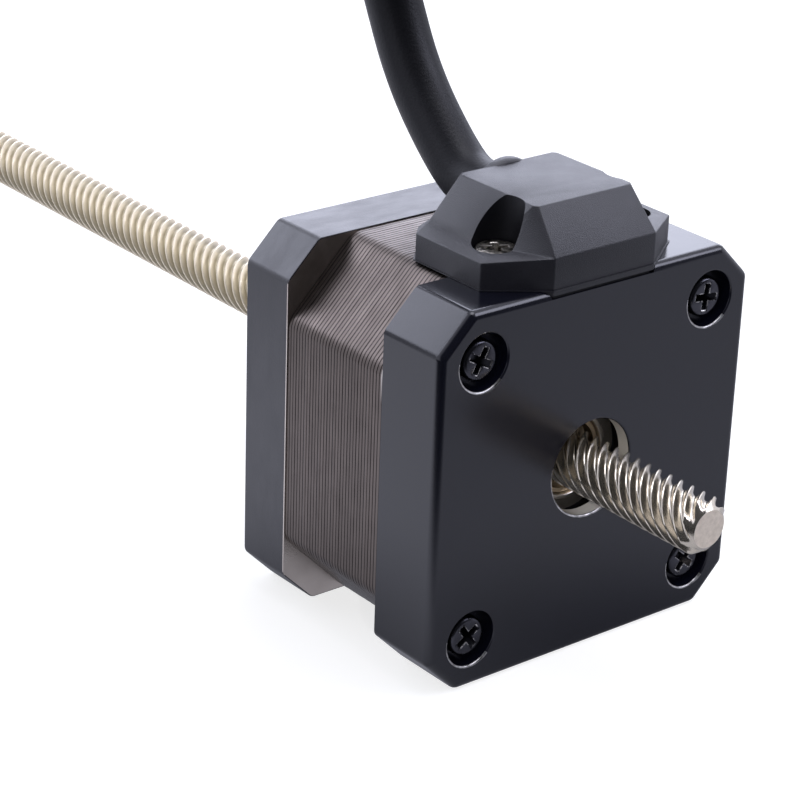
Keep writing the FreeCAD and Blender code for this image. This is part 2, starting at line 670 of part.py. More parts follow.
def make_body_screws():
    """Four long screws with chamfered heads, one node."""
    body = new_body("body_screws")
    body.AllowCompound = True
    sketch = new_sketch(body, offset=BODY_SEAT)
    square_of_circles(sketch, "BoltSpacing", "BodyScrewDia")
    pad(body, sketch, f"{BODY_SEAT} - BodyScrewTip", reverse=True)
    sketch = new_sketch(body, offset=BODY_SEAT)
    square_of_circles(sketch, "BoltSpacing", "BodyHeadDia")
    pad(body, sketch, "BodyHeadHeight")
    top = value(f"{BODY_SEAT} + BodyHeadHeight")
    rims = edges_at(body.Shape, lambda point: abs(-point.y - top) < 1e-6)
    chamfer(body, body.Tip, rims, "BodyHeadHeight * 0.4")


def eight_corners(rear, front, nose, width, corner, cut):
    """Outline of the cable cover at one height, in (x, y) with y against the depth."""
    tip = f"{nose} / 2"
    side = f"{width} / 2"
    front_tip = f"({width} / 2 - {cut})"
    far = f"-1 * ({rear})"
    near = f"-1 * ({front})"
    return [
        (f"-1 * {tip}", far),
        (tip, far),
        (side, f"{far} + {corner}"),
        (side, f"{near} - {cut}"),
        (front_tip, near),
        (f"-1 * {front_tip}", near),
        (f"-1 * {side}", f"{near} - {cut}"),
        (f"-1 * {side}", f"{far} + {corner}"),
    ]


def loft(body, lower, upper):
    """Straight-sided solid between two sketches."""
    feature = body.newObject("PartDesign::AdditiveLoft", "AdditiveLoft")
    feature.Profile = lower
    feature.Sections = [upper]
    feature.Ruled = True
    doc.recompute()
    return feature


def cable_route():
    """Corner points of the cable in the object's own frame."""
    wall = -value(CAP_FRONT)
    flat = value("FrameSize / 2")
    rising = [FreeCAD.Vector(x, wall + y, flat + z) for x, y, z in CABLE_RISING]
    lying = [FreeCAD.Vector(x, wall + y, z - flat) for x, y, z in CABLE_LYING]
    return rising + lying


def gland_frame(ahead):
    """Placement whose Z runs along the cable's first stretch, so far ahead of the collar's inner end."""
    start, second = cable_route()[:2]
    along = (second - start).normalize()
    turn = FreeCAD.Rotation(FreeCAD.Vector(0, 0, 1), along)
    return FreeCAD.Placement(start - along * value(f"GlandStart - ({ahead})"), turn)


def make_cable_cover():
    """Moulded cover: low walls, a sloped hump, screw wells, the cable's boss and a hollow underside."""
    body = new_body("cable_cover", UPRIGHT)
    wall = eight_corners(CAP_REAR, CAP_FRONT, "CapNose", "CapWidth", "CapCorner", "CapFrontCut")
    foot = eight_corners(CAP_REAR, CAP_FRONT, "CapNose", "HumpWidth", "HumpCorner", "CapTopCorner")
    crown = eight_corners(f"{CAP_REAR} - CapTopInset", f"{CAP_FRONT} + CapFrontDraft",
                          "(CapTopWidth - 2 * CapTopCorner)", "CapTopWidth", "CapTopCorner", "CapTopCorner")
    sketch = new_sketch(body, offset=CAP_LOW)
    outline(sketch, wall)
    pad(body, sketch, f"FrameSize / 2 + CapSideRise - {CAP_LOW}")
    levels = []
    for points, height in ((wall, "CapSideRise"), (foot, "CapEndRise"), (foot, "CapEndRise"),
                           (crown, "CapRise")):
        sketch = new_sketch(body, offset=f"FrameSize / 2 + {height}")
        outline(sketch, points)
        levels.append(sketch)
    loft(body, levels[0], levels[1])
    loft(body, levels[2], levels[3])
    make_cable_boss(body)
    sketch = new_sketch(body, offset=f"{CAP_TOP} + 1")
    for side in (-1, 1):
        circle(sketch, f"{side} * WellSpacing / 2", f"-1 * {WELL_PLACE}", "WellDia")
    pocket(body, sketch, f"{CAP_TOP} + 1 - {WELL_FLOOR}")
    sketch = new_sketch(body, offset=f"{CAP_TOP} + 1")
    for side in (-1, 1):
        circle(sketch, f"{side} * WellSpacing / 2", f"-1 * {WELL_PLACE}", "CapScrewDia + 2 * CapScrewGap")
    pocket(body, sketch, f"{CAP_TOP} + 1 - {CAP_LOW}")
    sketch = new_sketch(body, offset=CAP_LOW)
    rectangle(sketch, "-1 * CapCavityWidth / 2", "CapCavityWidth / 2",
              CAVITY_REAR, f"-1 * ({CAP_FRONT} + CapFrontThick)")
    pocket(body, sketch, f"{CAP_TOP} - CapCeiling - {CAP_LOW}", reverse=True)
    sketch = new_sketch(body, offset=STACK_CLEAR)
    rectangle(sketch, "-1 * CapWidth", "CapWidth", f"-1 * {COVER_FRONT}", "0")
    pocket(body, sketch, "BossDia")
    make_gland_hole(body)


def make_cable_boss(body):
    """Round boss on the front wall of the cable cover, along the cable's first stretch."""
    root = "(CapFrontThick - CapFrontDraft)"
    sketch = gland_sketch(body, root)
    circle(sketch, "0", "0", "BossDia")
    pad(body, sketch, f"GlandLength + BossLip - {root}")


def gland_sketch(body, ahead="0"):
    """Sketch across the cable's first stretch, so far ahead of the collar's inner end."""
    sketch = body.newObject("Sketcher::SketchObject", "Sketch")
    sketch.AttachmentSupport = [(origin_feature(body, "XY_Plane"), "")]
    sketch.MapMode = "FlatFace"
    sketch.AttachmentOffset = gland_frame(ahead)
    return sketch


def make_gland_hole(body):
    """Hole for the cable's collar, along the cable's first stretch."""
    sketch = gland_sketch(body)
    circle(sketch, "0", "0", "GlandDia + 2 * FitGap")
    pocket(body, sketch, "2 * GlandLength", reverse=True)


def make_cover_seal():
    """Seal plate under the part of the cable cover that sits on the rear cover."""
    body = new_body("cover_seal", UPRIGHT)
    margin = "0.3"
    rear = f"-1 * {CAP_REAR} + {margin}"
    front = f"-1 * {COVER_FRONT}"
    tip = f"(CapNose / 2 - {margin})"
    side = f"(CapWidth / 2 - {margin})"
    corner = f"-1 * {CAP_REAR} + CapCorner + {margin}"
    sketch = new_sketch(body, offset=SEAT_FLOOR)
    outline(sketch, [
        (f"-1 * {tip}", rear),
        (tip, rear),
        (side, corner),
        (side, front),
        (f"-1 * {side}", front),
        (f"-1 * {side}", corner),
    ])
    pad(body, sketch, "SealPlate")
    sketch = new_sketch(body, offset=CAP_LOW)
    rectangle(sketch, "-1 * CapCavityWidth / 2", "CapCavityWidth / 2",
              CAVITY_REAR, f"-1 * {COVER_FRONT} - {margin}")
    for side in (-1, 1):
        circle(sketch, f"{side} * WellSpacing / 2", f"-1 * {WELL_PLACE}", "CapScrewDia + 2 * CapScrewGap")
    pocket(body, sketch, "SealPlate")


def make_cover_screws():
    """Two short screws in the wells of the cable cover, one node."""
    body = new_body("cover_screws", UPRIGHT)
    body.AllowCompound = True
    for diameter, length, down in (("CapScrewDia", "CapScrewLength", True),
                                   ("CapHeadDia", "CapHeadHeight", False)):
        sketch = new_sketch(body, offset=WELL_FLOOR)
        for side in (-1, 1):
            circle(sketch, f"{side} * WellSpacing / 2", f"-1 * {WELL_PLACE}", diameter)
        pad(body, sketch, length, reverse=down)
    top = value(f"{WELL_FLOOR} + CapHeadHeight")
    rims = edges_at(body.Shape, lambda point: abs(point.z - top) < 1e-6)
    chamfer(body, body.Tip, rims, "CapHeadHeight * 0.4")


def make_terminal_board():
    """Lead board on the stack under the cable cover, with its row of pins."""
    board = new_body("terminal_board", UPRIGHT)
    pins = new_body("terminal_pins", UPRIGHT)
    pins.AllowCompound = True
    sketch = new_sketch(board, offset=STACK_TOP)
    rectangle(sketch, "-1 * BoardWidth / 2", "BoardWidth / 2",
              f"-1 * {BOARD_FRONT} - BoardLength", f"-1 * {BOARD_FRONT}")
    pad(board, sketch, "BoardThick")
    holes = new_sketch(board, offset=f"{STACK_TOP} + BoardThick")
    posts = new_sketch(pins, offset=STACK_TOP)
    for number in range(int(value("PinCount"))):
        place = f"({number} - (PinCount - 1) / 2) * PinSpacing"
        middle = f"-1 * {BOARD_FRONT} - BoardLength / 2"
        circle(holes, place, middle, "PinDia + 2 * FitGap")
        circle(posts, place, middle, "PinDia")
    pocket(board, holes, "BoardThick")
    pad(pins, posts, "BoardThick + PinHeight")


def make_gland():
    """Collar around the cable where it leaves the cover, cut flat above the stack."""
    body = new_body("cable_gland", UPRIGHT)
    sketch = gland_sketch(body)
    circle(sketch, "0", "0", "CableDia + 2 * GlandGap")
    circle(sketch, "0", "0", "GlandDia")
    pad(body, sketch, "GlandLength")
    sketch = new_sketch(body, offset=STACK_CLEAR)
    rectangle(sketch, "-1 * GlandDia", "GlandDia", f"-1 * {CAP_REAR}", "0")
    pocket(body, sketch, "GlandDia")


def make_cable():
    """Cable as a plain tube along straight runs joined by the largest tangent arcs."""
    route = cable_route()
    radius = value("CableDia / 2")
    edges = []
    radii = []
    last = route[0]
    for before, corner, after in zip(route, route[1:], route[2:]):
        back = (before - corner).normalize()
        ahead = (after - corner).normalize()
        turn = math.pi - back.getAngle(ahead)
        reach = CORNER_SHARE * min((before - corner).Length, (after - corner).Length)
        radii.append(reach / math.tan(turn / 2))
        start = corner + back * reach
        end = corner + ahead * reach
        middle_way = (back + ahead).normalize()
        depth = radii[-1] / math.cos(turn / 2) - radii[-1]
        edges.append(Part.LineSegment(last, start).toShape())
        edges.append(Part.Arc(start, corner + middle_way * depth, end).toShape())
        last = end
    edges.append(Part.LineSegment(last, route[-1]).toShape())
    path = Part.Wire(edges)
    section = Part.Wire(Part.makeCircle(radius, route[0], route[1] - route[0]))
    tube = path.makePipeShell([section], True, True)
    print("cable radii", [round(size, 1) for size in radii], "length", round(path.Length, 1))
    wanted = math.pi * radius ** 2 * path.Length
    if abs(tube.Volume - wanted) > VOLUME_TOLERANCE * wanted:
        raise RuntimeError("the cable's volume isn't its section times its length")
    cable = doc.addObject("Part::Feature", "motor_cable")
    cable.Label = "motor_cable"
    cable.Shape = tube
    nodes.append(cable)


def make_plug():
    """Connector on the cable's end: moulded body, metal shell, socket insert and contacts."""
    before, end = cable_route()[-2:]
    along = end - before
    frame = FreeCAD.Placement(end, FreeCAD.Rotation(FreeCAD.Vector(0, 0, 1), along))
    revolved("plug_body", [
        ("0", "0"),
        ("PlugNeckDia / 2", "0"),
        ("PlugDia / 2", "PlugTaper"),
        ("PlugDia / 2", "PlugLength"),
        ("0", "PlugLength"),
    ], frame)
    revolved("plug_shell", [
        ("PlugShellBore / 2", "PlugLength"),
        ("PlugShellDia / 2", "PlugLength"),
        ("PlugShellDia / 2", "PlugLength + PlugShellLength"),
        ("PlugShellBore / 2", "PlugLength + PlugShellLength"),
    ], frame)
    insert = new_body("plug_insert", frame)
    insert_end = "PlugLength + PlugShellLength - InsertRecess"
    sketch = new_sketch(insert, offset="PlugLength")
    circle(sketch, "0", "0", "PlugShellBore - 2 * FitGap")
    pad(insert, sketch, "PlugShellLength - InsertRecess")
    sketch = new_sketch(insert, offset=insert_end)
    circle(sketch, "ContactCircle / 2", "0", "ContactDia + 2 * FitGap")
    polar(insert, pocket(insert, sketch, "SocketDepth"), "PinCount")
    contacts = new_body("plug_contacts", frame)
    contacts.AllowCompound = True
    sketch = new_sketch(contacts, offset=f"{insert_end} - SocketDepth")
    circle(sketch, "ContactCircle / 2", "0", "ContactDia")
    polar(contacts, pad(contacts, sketch, "ContactLength"), "PinCount")


def write_parts():
    """Check every object and write one file for each piece."""
    doc.recompute()
    for item in doc.Objects:
        if "Up-to-date" not in item.State or "Invalid" in item.State or "Error" in item.State:
            raise RuntimeError(f"{item.Label} failed: {item.State}")
    for node in nodes:
        if node.Shape.isNull() or not node.Shape.isValid():
            raise RuntimeError(f"{node.Label} has no valid shape")
    os.makedirs("parts", exist_ok=True)
    for node in nodes:
        node.Shape.exportStep(f"parts/{node.Label}.step")
        print(node.Label, "solids", len(node.Shape.Solids), "volume", round(node.Shape.Volume, 1))


make_front_flange()
make_rear_cover()
make_stator_stack()
make_insulator("front_insulator", STACK_FRONT, -1)
make_insulator("rear_insulator", STACK_REAR, 1)
make_windings()
make_bearing("front", "FrontSeat")
make_bearing("rear", f"({REAR_BEARING} - BearingWidth)")
make_preload_spring()
make_rotor()
make_lead_screw()
make_body_screws()
make_cable_cover()
make_cover_seal()
make_cover_screws()
make_terminal_board()
make_gland()
make_cable()
make_plug()
write_parts()
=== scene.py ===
"""Linear stepper motor dressed for a studio picture: thread, laminations, screws, cable and finishes."""

import logging
import math
from abc import ABC, abstractmethod
from collections.abc import Callable, Iterable, Sequence
from dataclasses import dataclass
from enum import Enum, IntEnum

import bmesh
import bpy
from mathutils import Matrix, Vector


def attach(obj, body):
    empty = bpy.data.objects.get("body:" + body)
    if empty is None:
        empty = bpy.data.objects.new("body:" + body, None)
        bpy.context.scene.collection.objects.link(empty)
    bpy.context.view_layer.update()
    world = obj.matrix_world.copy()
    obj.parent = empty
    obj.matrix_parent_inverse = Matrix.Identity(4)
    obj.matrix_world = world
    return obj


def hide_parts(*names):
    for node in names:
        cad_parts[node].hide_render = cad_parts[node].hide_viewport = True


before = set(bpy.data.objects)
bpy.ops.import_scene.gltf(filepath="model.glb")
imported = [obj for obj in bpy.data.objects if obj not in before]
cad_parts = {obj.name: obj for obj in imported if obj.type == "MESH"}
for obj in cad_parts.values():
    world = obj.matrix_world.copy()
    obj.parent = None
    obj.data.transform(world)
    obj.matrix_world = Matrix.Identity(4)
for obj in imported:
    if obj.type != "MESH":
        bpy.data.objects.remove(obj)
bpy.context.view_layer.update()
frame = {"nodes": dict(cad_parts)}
LOG = logging.getLogger("linear_stepper")
# Sizes are written in millimetres, and the scene is in metres
MM = 0.001
# Vertices closer than the first, in metres, are one, and edges shorter than the second are dissolved
MERGE = 1e-7
SHORT = 1e-6
# A point this close to a face or a rim, in millimetres, lies on it
NEAR = 0.01
ON_RIM = 0.05
# A tool reaches this far out of the piece that it cuts or joins, in millimetres
PAST = 1.0
# A normal with more than the first share of Y belongs to an end, and with less than the second to a side
END_FACING = 0.99
SIDE_FACING = 0.1
# The middle of a quarter arc lies this share of its radius inside the corner
ARC_MIDDLE = 0.3
# Noise seldom leaves this range, and its finer layers fade at this rate
NOISE_LOW = 0.3
NOISE_HIGH = 0.7
NOISE_FADE = 0.55
BUMP_STRENGTH = 0.6
LEAST_ROUGHNESS = 0.02

Point = tuple[float, float, float]
Profile = Sequence[tuple[float, float]]
Piece = bpy.types.Object
Mesh = bmesh.types.BMesh
Vert = bmesh.types.BMVert
Edge = bmesh.types.BMEdge
Face = bmesh.types.BMFace
Tree = bpy.types.NodeTree
Node = bpy.types.Node
Socket = bpy.types.NodeSocket
Inputs = dict[str | int, object]


class Body(Enum):
    """Rigid bodies of the motor."""

    HOUSING = "housing"
    ROTOR = "rotor"
    ROD = "rod"


class Carve(Enum):
    """Ways in which one solid changes another."""

    CUT = "DIFFERENCE"
    JOIN = "UNION"


class Slot(IntEnum):
    """Material slots of a piece with more than one finish."""

    MAIN = 0
    SECOND = 1
    THIRD = 2


class Sides(IntEnum):
    """Sides of a round shape, by how large it shows."""

    HOLE = 32
    SCREW = 48
    WELL = 64
    PLAIN = 72
    LARGE = 96


def linear(colour: str) -> tuple[float, float, float, float]:
    """Turn an sRGB hex colour into linear light.

    Args:
        colour: six hex digits after a hash sign.

    Returns:
        Red, green, blue and alpha.
    """
    parts = [int(colour[place:place + 2], 16) / 255 for place in (1, 3, 5)]
    lights = [part / 12.92 if part <= 0.04045 else ((part + 0.055) / 1.055) ** 2.4 for part in parts]
    return (lights[0], lights[1], lights[2], 1.0)


def set_inputs(tree: Tree, node: Node, inputs: Inputs) -> None:
    """Set or feed the inputs of a node.

    Args:
        tree: node tree that holds the node.
        node: node that takes them.
        inputs: name or number of each input, with a constant, an output, or a node for its first output.
    """
    for name, given in inputs.items():
        if isinstance(given, Node):
            tree.links.new(given.outputs[0], node.inputs[name])
        elif isinstance(given, Socket):
            tree.links.new(given, node.inputs[name])
        else:
            node.inputs[name].default_value = given


def add_node(tree: Tree, kind: str, inputs: Inputs | None = None, **settings: object) -> Node:
    """Add one shader node.

    Args:
        tree: node tree that takes the node.
        kind: node type, without the words that every type begins with.
        inputs: inputs to set or feed.
        settings: attributes of the node.

    Returns:
        The new node.
    """
    node = tree.nodes.new("ShaderNode" + kind)
    for name, setting in settings.items():
        setattr(node, name, setting)
    set_inputs(tree, node, inputs or {})
    return node


def fed(node: Node, name: str) -> Socket:
    """Give the output that feeds an input of a node."""
    return node.inputs[name].links[0].from_socket


def empty_tree(owner: bpy.types.Material | bpy.types.World) -> Tree:
    """Clear the nodes of a material or a world.

    Args:
        owner: material or world.

    Returns:
        Its node tree.
    """
    owner.use_nodes = True
    owner.node_tree.nodes.clear()
    return owner.node_tree


@dataclass(frozen=True)
class Ramp:
    """Range of a value and what its ends turn into.

    Attributes:
        low: lower end of the range.
        high: upper end of the range.
        start: result at the lower end.
        end: result at the upper end.
    """

    low: float = 0.0
    high: float = 1.0
    start: float = 0.0
    end: float = 1.0

    def inputs(self, value: object) -> Inputs:
        """Give the inputs of a node that maps a value along the ramp."""
        return {"Value": value, "From Min": self.low, "From Max": self.high, "To Min": self.start,
                "To Max": self.end}


@dataclass(frozen=True)
class Finish:
    """Surface of one real material: colour, gloss and the grain that its making leaves.

    Attributes:
        name: material and process.
        colour: main colour.
        other: colour that the grain drifts to.
        metallic: 1 for bare metal.
        roughness: gloss of the surface.
        spread: how far the roughness drifts.
        grain_mm: size of one grain.
        stretch: grain size along X, Y and Z against grain_mm.
        bump_mm: height of the grain.
        specular: strength of a dielectric's mirror part.
        drift: size of a drift in colour and gloss against grain_mm.
    """

    name: str
    colour: str
    other: str
    metallic: float = 0.0
    roughness: float = 0.5
    spread: float = 0.08
    grain_mm: float = 0.3
    stretch: Point = (1.0, 1.0, 1.0)
    bump_mm: float = 0.01
    specular: float = 0.5
    drift: float = 14.0

    def material(self) -> bpy.types.Material:
        """Give the finish's material, made at its first use.

        Returns:
            The material with its nodes.
        """
        known = bpy.data.materials.get(self.name)
        if known is not None:
            return known
        made = bpy.data.materials.new(self.name)
        tree = empty_tree(made)
        shader = add_node(tree, "BsdfPrincipled", {
            "Metallic": self.metallic, "Specular IOR Level": self.specular})
        add_node(tree, "OutputMaterial", {"Surface": shader})
        self.dress(tree, shader, add_node(tree, "TexCoord").outputs["Object"])
        return made

    def grain(self, tree: Tree, place: Socket, size_mm: float, detail: float = 3.0) -> Socket:
        """Add noise whose blobs have a real size.

        Args:
            tree: node tree of the material.
            place: coordinates in metres.
            size_mm: size of a blob.
            detail: finer layers.

        Returns:
            Noise between 0 and 1.
        """
        scale = tuple(1.0 / part for part in self.stretch)
        mapped = add_node(tree, "Mapping", {"Vector": place, "Scale": scale})
        noise = add_node(tree, "TexNoise", {
            "Vector": mapped, "Scale": 1.0 / (size_mm * MM), "Detail": detail, "Roughness": NOISE_FADE})
        return noise.outputs["Fac"]

    @staticmethod
    def off_axis(tree: Tree, place: Socket) -> Socket:
        """Add the distance from the motor's axis.

        Args:
            tree: node tree of the material.
            place: coordinates in metres.

        Returns:
            Distance in metres.
        """
        flat = add_node(tree, "VectorMath", {0: place, 1: (1.0, 0.0, 1.0)}, operation="MULTIPLY")
        return add_node(tree, "VectorMath", {0: flat}, operation="LENGTH").outputs["Value"]

    def dress(self, tree: Tree, shader: Node, place: Socket) -> None:
        """Feed colour, roughness and bump into the shader.

        Args:
            tree: node tree of the material.
            shader: principled shader.
            place: object coordinates.
        """
        fine = self.grain(tree, place, self.grain_mm)
        broad = self.grain(tree, place, self.grain_mm * self.drift)
        colour = add_node(tree, "Mix", {0: broad, 6: linear(self.colour), 7: linear(self.other)},
                          data_type="RGBA")
        glossy = max(LEAST_ROUGHNESS, self.roughness - self.spread)
        gloss = Ramp(NOISE_LOW, NOISE_HIGH, glossy, self.roughness + self.spread)
        bump = add_node(tree, "Bump", {
            "Height": fine, "Strength": BUMP_STRENGTH, "Distance": self.bump_mm * MM})
        set_inputs(tree, shader, {
            "Base Color": colour.outputs[2], "Roughness": add_node(tree, "MapRange", gloss.inputs(broad)),
            "Normal": bump})


@dataclass(frozen=True)
class LaminatedSteel(Finish):
    """Ground edges of stacked sheets.

    Each sheet has its own shade, oxide lies between them, and a painted highlight lines the last one near its
    top.
    """

    sheet_mm: float = 0.5
    front_mm: float = -7.3
    joint: Ramp = Ramp(0.27, 0.46)
    shades: Ramp = Ramp(start=0.92, end=1.06)
    gap: str = "#2a2624"
    last_mm: float = -23.06
    top_edge_highlight: str = "#e6e0d8"
    highlight_height: Ramp = Ramp(9.0 * MM, 14.0 * MM)

    def dress(self, tree: Tree, shader: Node, place: Socket) -> None:
        """Stripe the steel by sheet, with a dark joint at each sheet's edge.

        Args:
            tree: node tree of the material.
            shader: principled shader.
            place: object coordinates.
        """
        super().dress(tree, shader, place)
        axes = add_node(tree, "SeparateXYZ", {"Vector": place})
        depth = add_node(tree, "Math", {
            0: axes.outputs["Y"], 1: 1.0 / (self.sheet_mm * MM), 2: -self.front_mm / self.sheet_mm},
            operation="MULTIPLY_ADD")
        number = add_node(tree, "Math", {0: depth}, operation="FLOOR")
        share = add_node(tree, "Math", {0: depth}, operation="FRACT")
        tone = add_node(tree, "TexWhiteNoise", {"W": number}, noise_dimensions="1D")
        off = add_node(tree, "Math", {0: share, 1: 0.5}, operation="SUBTRACT")
        edge = add_node(tree, "Math", {0: off}, operation="ABSOLUTE")
        joint = add_node(tree, "MapRange", self.joint.inputs(edge), interpolation_type="SMOOTHSTEP")
        lit = add_node(tree, "MapRange", self.shades.inputs(tone.outputs["Value"]))
        sheet = add_node(tree, "VectorMath", {0: fed(shader, "Base Color"), "Scale": lit}, operation="SCALE")
        striped = add_node(tree, "Mix", {0: joint, 6: sheet, 7: linear(self.gap)}, data_type="RGBA")
        # Painted highlight: the last sheet turns bright near its top, where the light catches it
        behind = add_node(tree, "Math", {0: axes.outputs["Y"], 1: self.last_mm * MM}, operation="LESS_THAN")
        high = add_node(tree, "MapRange", self.highlight_height.inputs(axes.outputs["Z"]))
        bright = add_node(tree, "Math", {0: behind, 1: high}, operation="MULTIPLY")
        ended = add_node(tree, "Mix", {0: bright, 6: striped.outputs[2], 7: linear(self.top_edge_highlight)},
                         data_type="RGBA")
        set_inputs(tree, shader, {"Base Color": ended.outputs[2]})


@dataclass(frozen=True)
class PaintedSheenSteel(Finish):
    """Bright steel that turns pale and half matt along the rod: painted reflection, with painted highlights
    on its ribs.
    """

    along: Ramp = Ramp(-26.0 * MM, 2.0 * MM)
    ribs: Ramp = Ramp(2.55 * MM, 3.08 * MM)
    mirror: Ramp = Ramp(start=0.97, end=0.50)
    sheen_roughness: float = 0.36
    groove_sheen: str = "#b6ab90"
    rib_highlight: str = "#fff3da"

    def dress(self, tree: Tree, shader: Node, place: Socket) -> None:
        """Paint a pale reflection over the metal along Y, lighter on the ribs as a painted highlight, and
        take away some of its mirror.

        Args:
            tree: node tree of the material.
            shader: principled shader.
            place: object coordinates.
        """
        super().dress(tree, shader, place)
        axes = add_node(tree, "SeparateXYZ", {"Vector": place})
        # Painted reflection and highlight: pale in the grooves and near white on the ribs, growing along Y
        share = add_node(tree, "MapRange", self.along.inputs(axes.outputs["Y"]))
        rib = add_node(tree, "MapRange", self.ribs.inputs(self.off_axis(tree, place)))
        sheen_tone = add_node(tree, "Mix", {0: rib, 6: linear(self.groove_sheen), 7: linear(self.rib_highlight)},
                        data_type="RGBA")
        tinted = add_node(tree, "Mix", {0: share, 6: fed(shader, "Base Color"), 7: sheen_tone.outputs[2]},
                          data_type="RGBA")
        dulled = add_node(tree, "Mix", {0: share, 2: fed(shader, "Roughness"), 3: self.sheen_roughness})
        set_inputs(tree, shader, {
            "Base Color": tinted.outputs[2], "Roughness": dulled,
            "Metallic": add_node(tree, "MapRange", self.mirror.inputs(share))})


@dataclass(frozen=True)
class WearAndPaintedLight(Finish):
    """Surface whose two tones meet in patches: worn by use or a tool on some finishes, painted highlight and
    painted shade on others.
    """

    patch_mm: float = 0.6
    patch_detail: float = 4.0
    soft: float = 0.10

    def dress(self, tree: Tree, shader: Node, place: Socket) -> None:
        """Part the two tones into patches.

        Args:
            tree: node tree of the material.
            shader: principled shader.
            place: object coordinates.
        """
        super().dress(tree, shader, place)
        patches = self.grain(tree, place, self.patch_mm, self.patch_detail)
        parted = add_node(tree, "MapRange", Ramp(0.5 - self.soft, 0.5 + self.soft).inputs(patches))
        tone = add_node(tree, "Mix", {0: parted, 6: linear(self.colour), 7: linear(self.other)},
                        data_type="RGBA")
        set_inputs(tree, shader, {"Base Color": tone.outputs[2]})


@dataclass(frozen=True)
class TurnedFace(WearAndPaintedLight):
    """End cut on a lathe: fine rings around the axis, with torn patches between them."""

    ring_mm: float = 0.18
    ring_bump_mm: float = 0.008

    def dress(self, tree: Tree, shader: Node, place: Socket) -> None:
        """Add the tool's rings around the motor's axis to the torn metal.

        Args:
            tree: node tree of the material.
            shader: principled shader.
            place: object coordinates.
        """
        super().dress(tree, shader, place)
        turns = add_node(tree, "Math", {0: self.off_axis(tree, place), 1: 2 * math.pi / (self.ring_mm * MM)},
                         operation="MULTIPLY")
        wave = add_node(tree, "Math", {0: turns}, operation="SINE")
        bump = add_node(tree, "Bump", {
            "Height": wave, "Normal": fed(shader, "Normal"), "Strength": BUMP_STRENGTH,
            "Distance": self.ring_bump_mm * MM})
        set_inputs(tree, shader, {"Normal": bump})


@dataclass(frozen=True)
class SprayedPaint(Finish):
    """Satin black sprayed on a casting: soft orange peel and a few settled dust specks."""

    speck: str = "#8d8c90"
    speck_mm: float = 2.6
    clean_share: float = 0.93
    speck_reach: float = 0.03

    def dress(self, tree: Tree, shader: Node, place: Socket) -> None:
        """Scatter the specks over the paint.

        Args:
            tree: node tree of the material.
            shader: principled shader.
            place: object coordinates.
        """
        super().dress(tree, shader, place)
        cells = add_node(tree, "TexVoronoi", {
            "Vector": place, "Scale": 1.0 / (self.speck_mm * MM), "Randomness": 1.0}, feature="F1")
        chosen = add_node(tree, "SeparateColor", {"Color": cells.outputs["Color"]})
        few = add_node(tree, "Math", {0: chosen.outputs["Red"], 1: self.clean_share},
                       operation="GREATER_THAN")
        near = add_node(tree, "Math", {0: cells.outputs["Distance"], 1: self.speck_reach},
                        operation="LESS_THAN")
        spot = add_node(tree, "Math", {0: few, 1: near}, operation="MULTIPLY")
        dusty = add_node(tree, "Mix", {0: spot, 6: fed(shader, "Base Color"), 7: linear(self.speck)},
                         data_type="RGBA")
        set_inputs(tree, shader, {"Base Color": dusty.outputs[2]})


# Die-cast aluminium under sprayed satin paint: nearly black, and it mirrors a blurred table
CAST_PAINT = SprayedPaint("satin_black_paint_on_die_cast_aluminium", "#090a14", "#0c0d18", roughness=0.21,
                          spread=0.02, grain_mm=0.40, bump_mm=0.010, specular=0.68)
# Bright bare aluminium on the lower-left of the holes' rims: a painted highlight where the rounded rims catch
# the light
RIM_HIGHLIGHT_ALUMINIUM = WearAndPaintedLight("bright_aluminium_painted_rim_highlight", "#f0eeec", "#7d7b78", metallic=1.0, roughness=0.34, spread=0.06,
                      grain_mm=0.2, bump_mm=0.004, patch_mm=0.9, soft=0.15)
# Wall of the bore, left as it was cast: pale, matt and free of paint
CAST_SKIN = Finish("unpainted_die_cast_aluminium", "#d2cdc4", "#c6c0b6", roughness=0.55, spread=0.06,
                   grain_mm=0.2, stretch=(1.0, 0.3, 1.0), bump_mm=0.006)
# Milled aluminium, black anodised: dull sheen that turns pale at a low angle, faint cutter lines
ANODISED = Finish("black_anodised_milled_aluminium", "#15151d", "#19191f", roughness=0.38, spread=0.05,
                  grain_mm=0.14, stretch=(2.0, 0.8, 2.0), bump_mm=0.022, specular=0.9)
# Inner face of the flange, milled after the anodising: bare metal that looks warm grey; on its left and right
# inner edges, a painted highlight line
MILLED_AND_EDGE_HIGHLIGHT = Finish("milled_bare_aluminium_and_painted_edge_highlight", "#e6dcd2", "#d2c8be", metallic=1.0, roughness=0.32, spread=0.06,
                grain_mm=0.22, bump_mm=0.015)
# Silicon steel sheets, varnished after stacking: brown-grey stripes with darker joints and a painted
# highlight
LAMINATION = LaminatedSteel("varnished_silicon_steel_laminations", "#746b65", "#68605b", metallic=1.0,
                            roughness=0.38, spread=0.06, grain_mm=0.25, stretch=(1.0, 0.5, 1.0),
                            bump_mm=0.010)
# Rolled stainless thread, bright and slightly warm; in front, painted pale reflection and painted rib
# highlights
ROLLED_STEEL = PaintedSheenSteel("rolled_stainless_steel", "#ece4d4", "#dcd2c0", roughness=0.19, spread=0.04,
                           grain_mm=0.3, stretch=(1.0, 3.0, 1.0), bump_mm=0.004)
# The same steel cut off on a lathe: matt, with fine rings
TURNED_STEEL = TurnedFace("turned_stainless_steel", "#e6dace", "#cbbfb2", metallic=0.3, roughness=0.5,
                          spread=0.05, grain_mm=0.12, bump_mm=0.006, patch_mm=0.5, soft=0.25)
# Ground bearing and shaft steel: smooth with a soft mirror
GROUND_STEEL = Finish("ground_bearing_steel", "#dcd6cc", "#c9c2b6", metallic=0.96, roughness=0.32,
                      spread=0.06, grain_mm=0.15, stretch=(1.0, 0.3, 1.0), bump_mm=0.004)
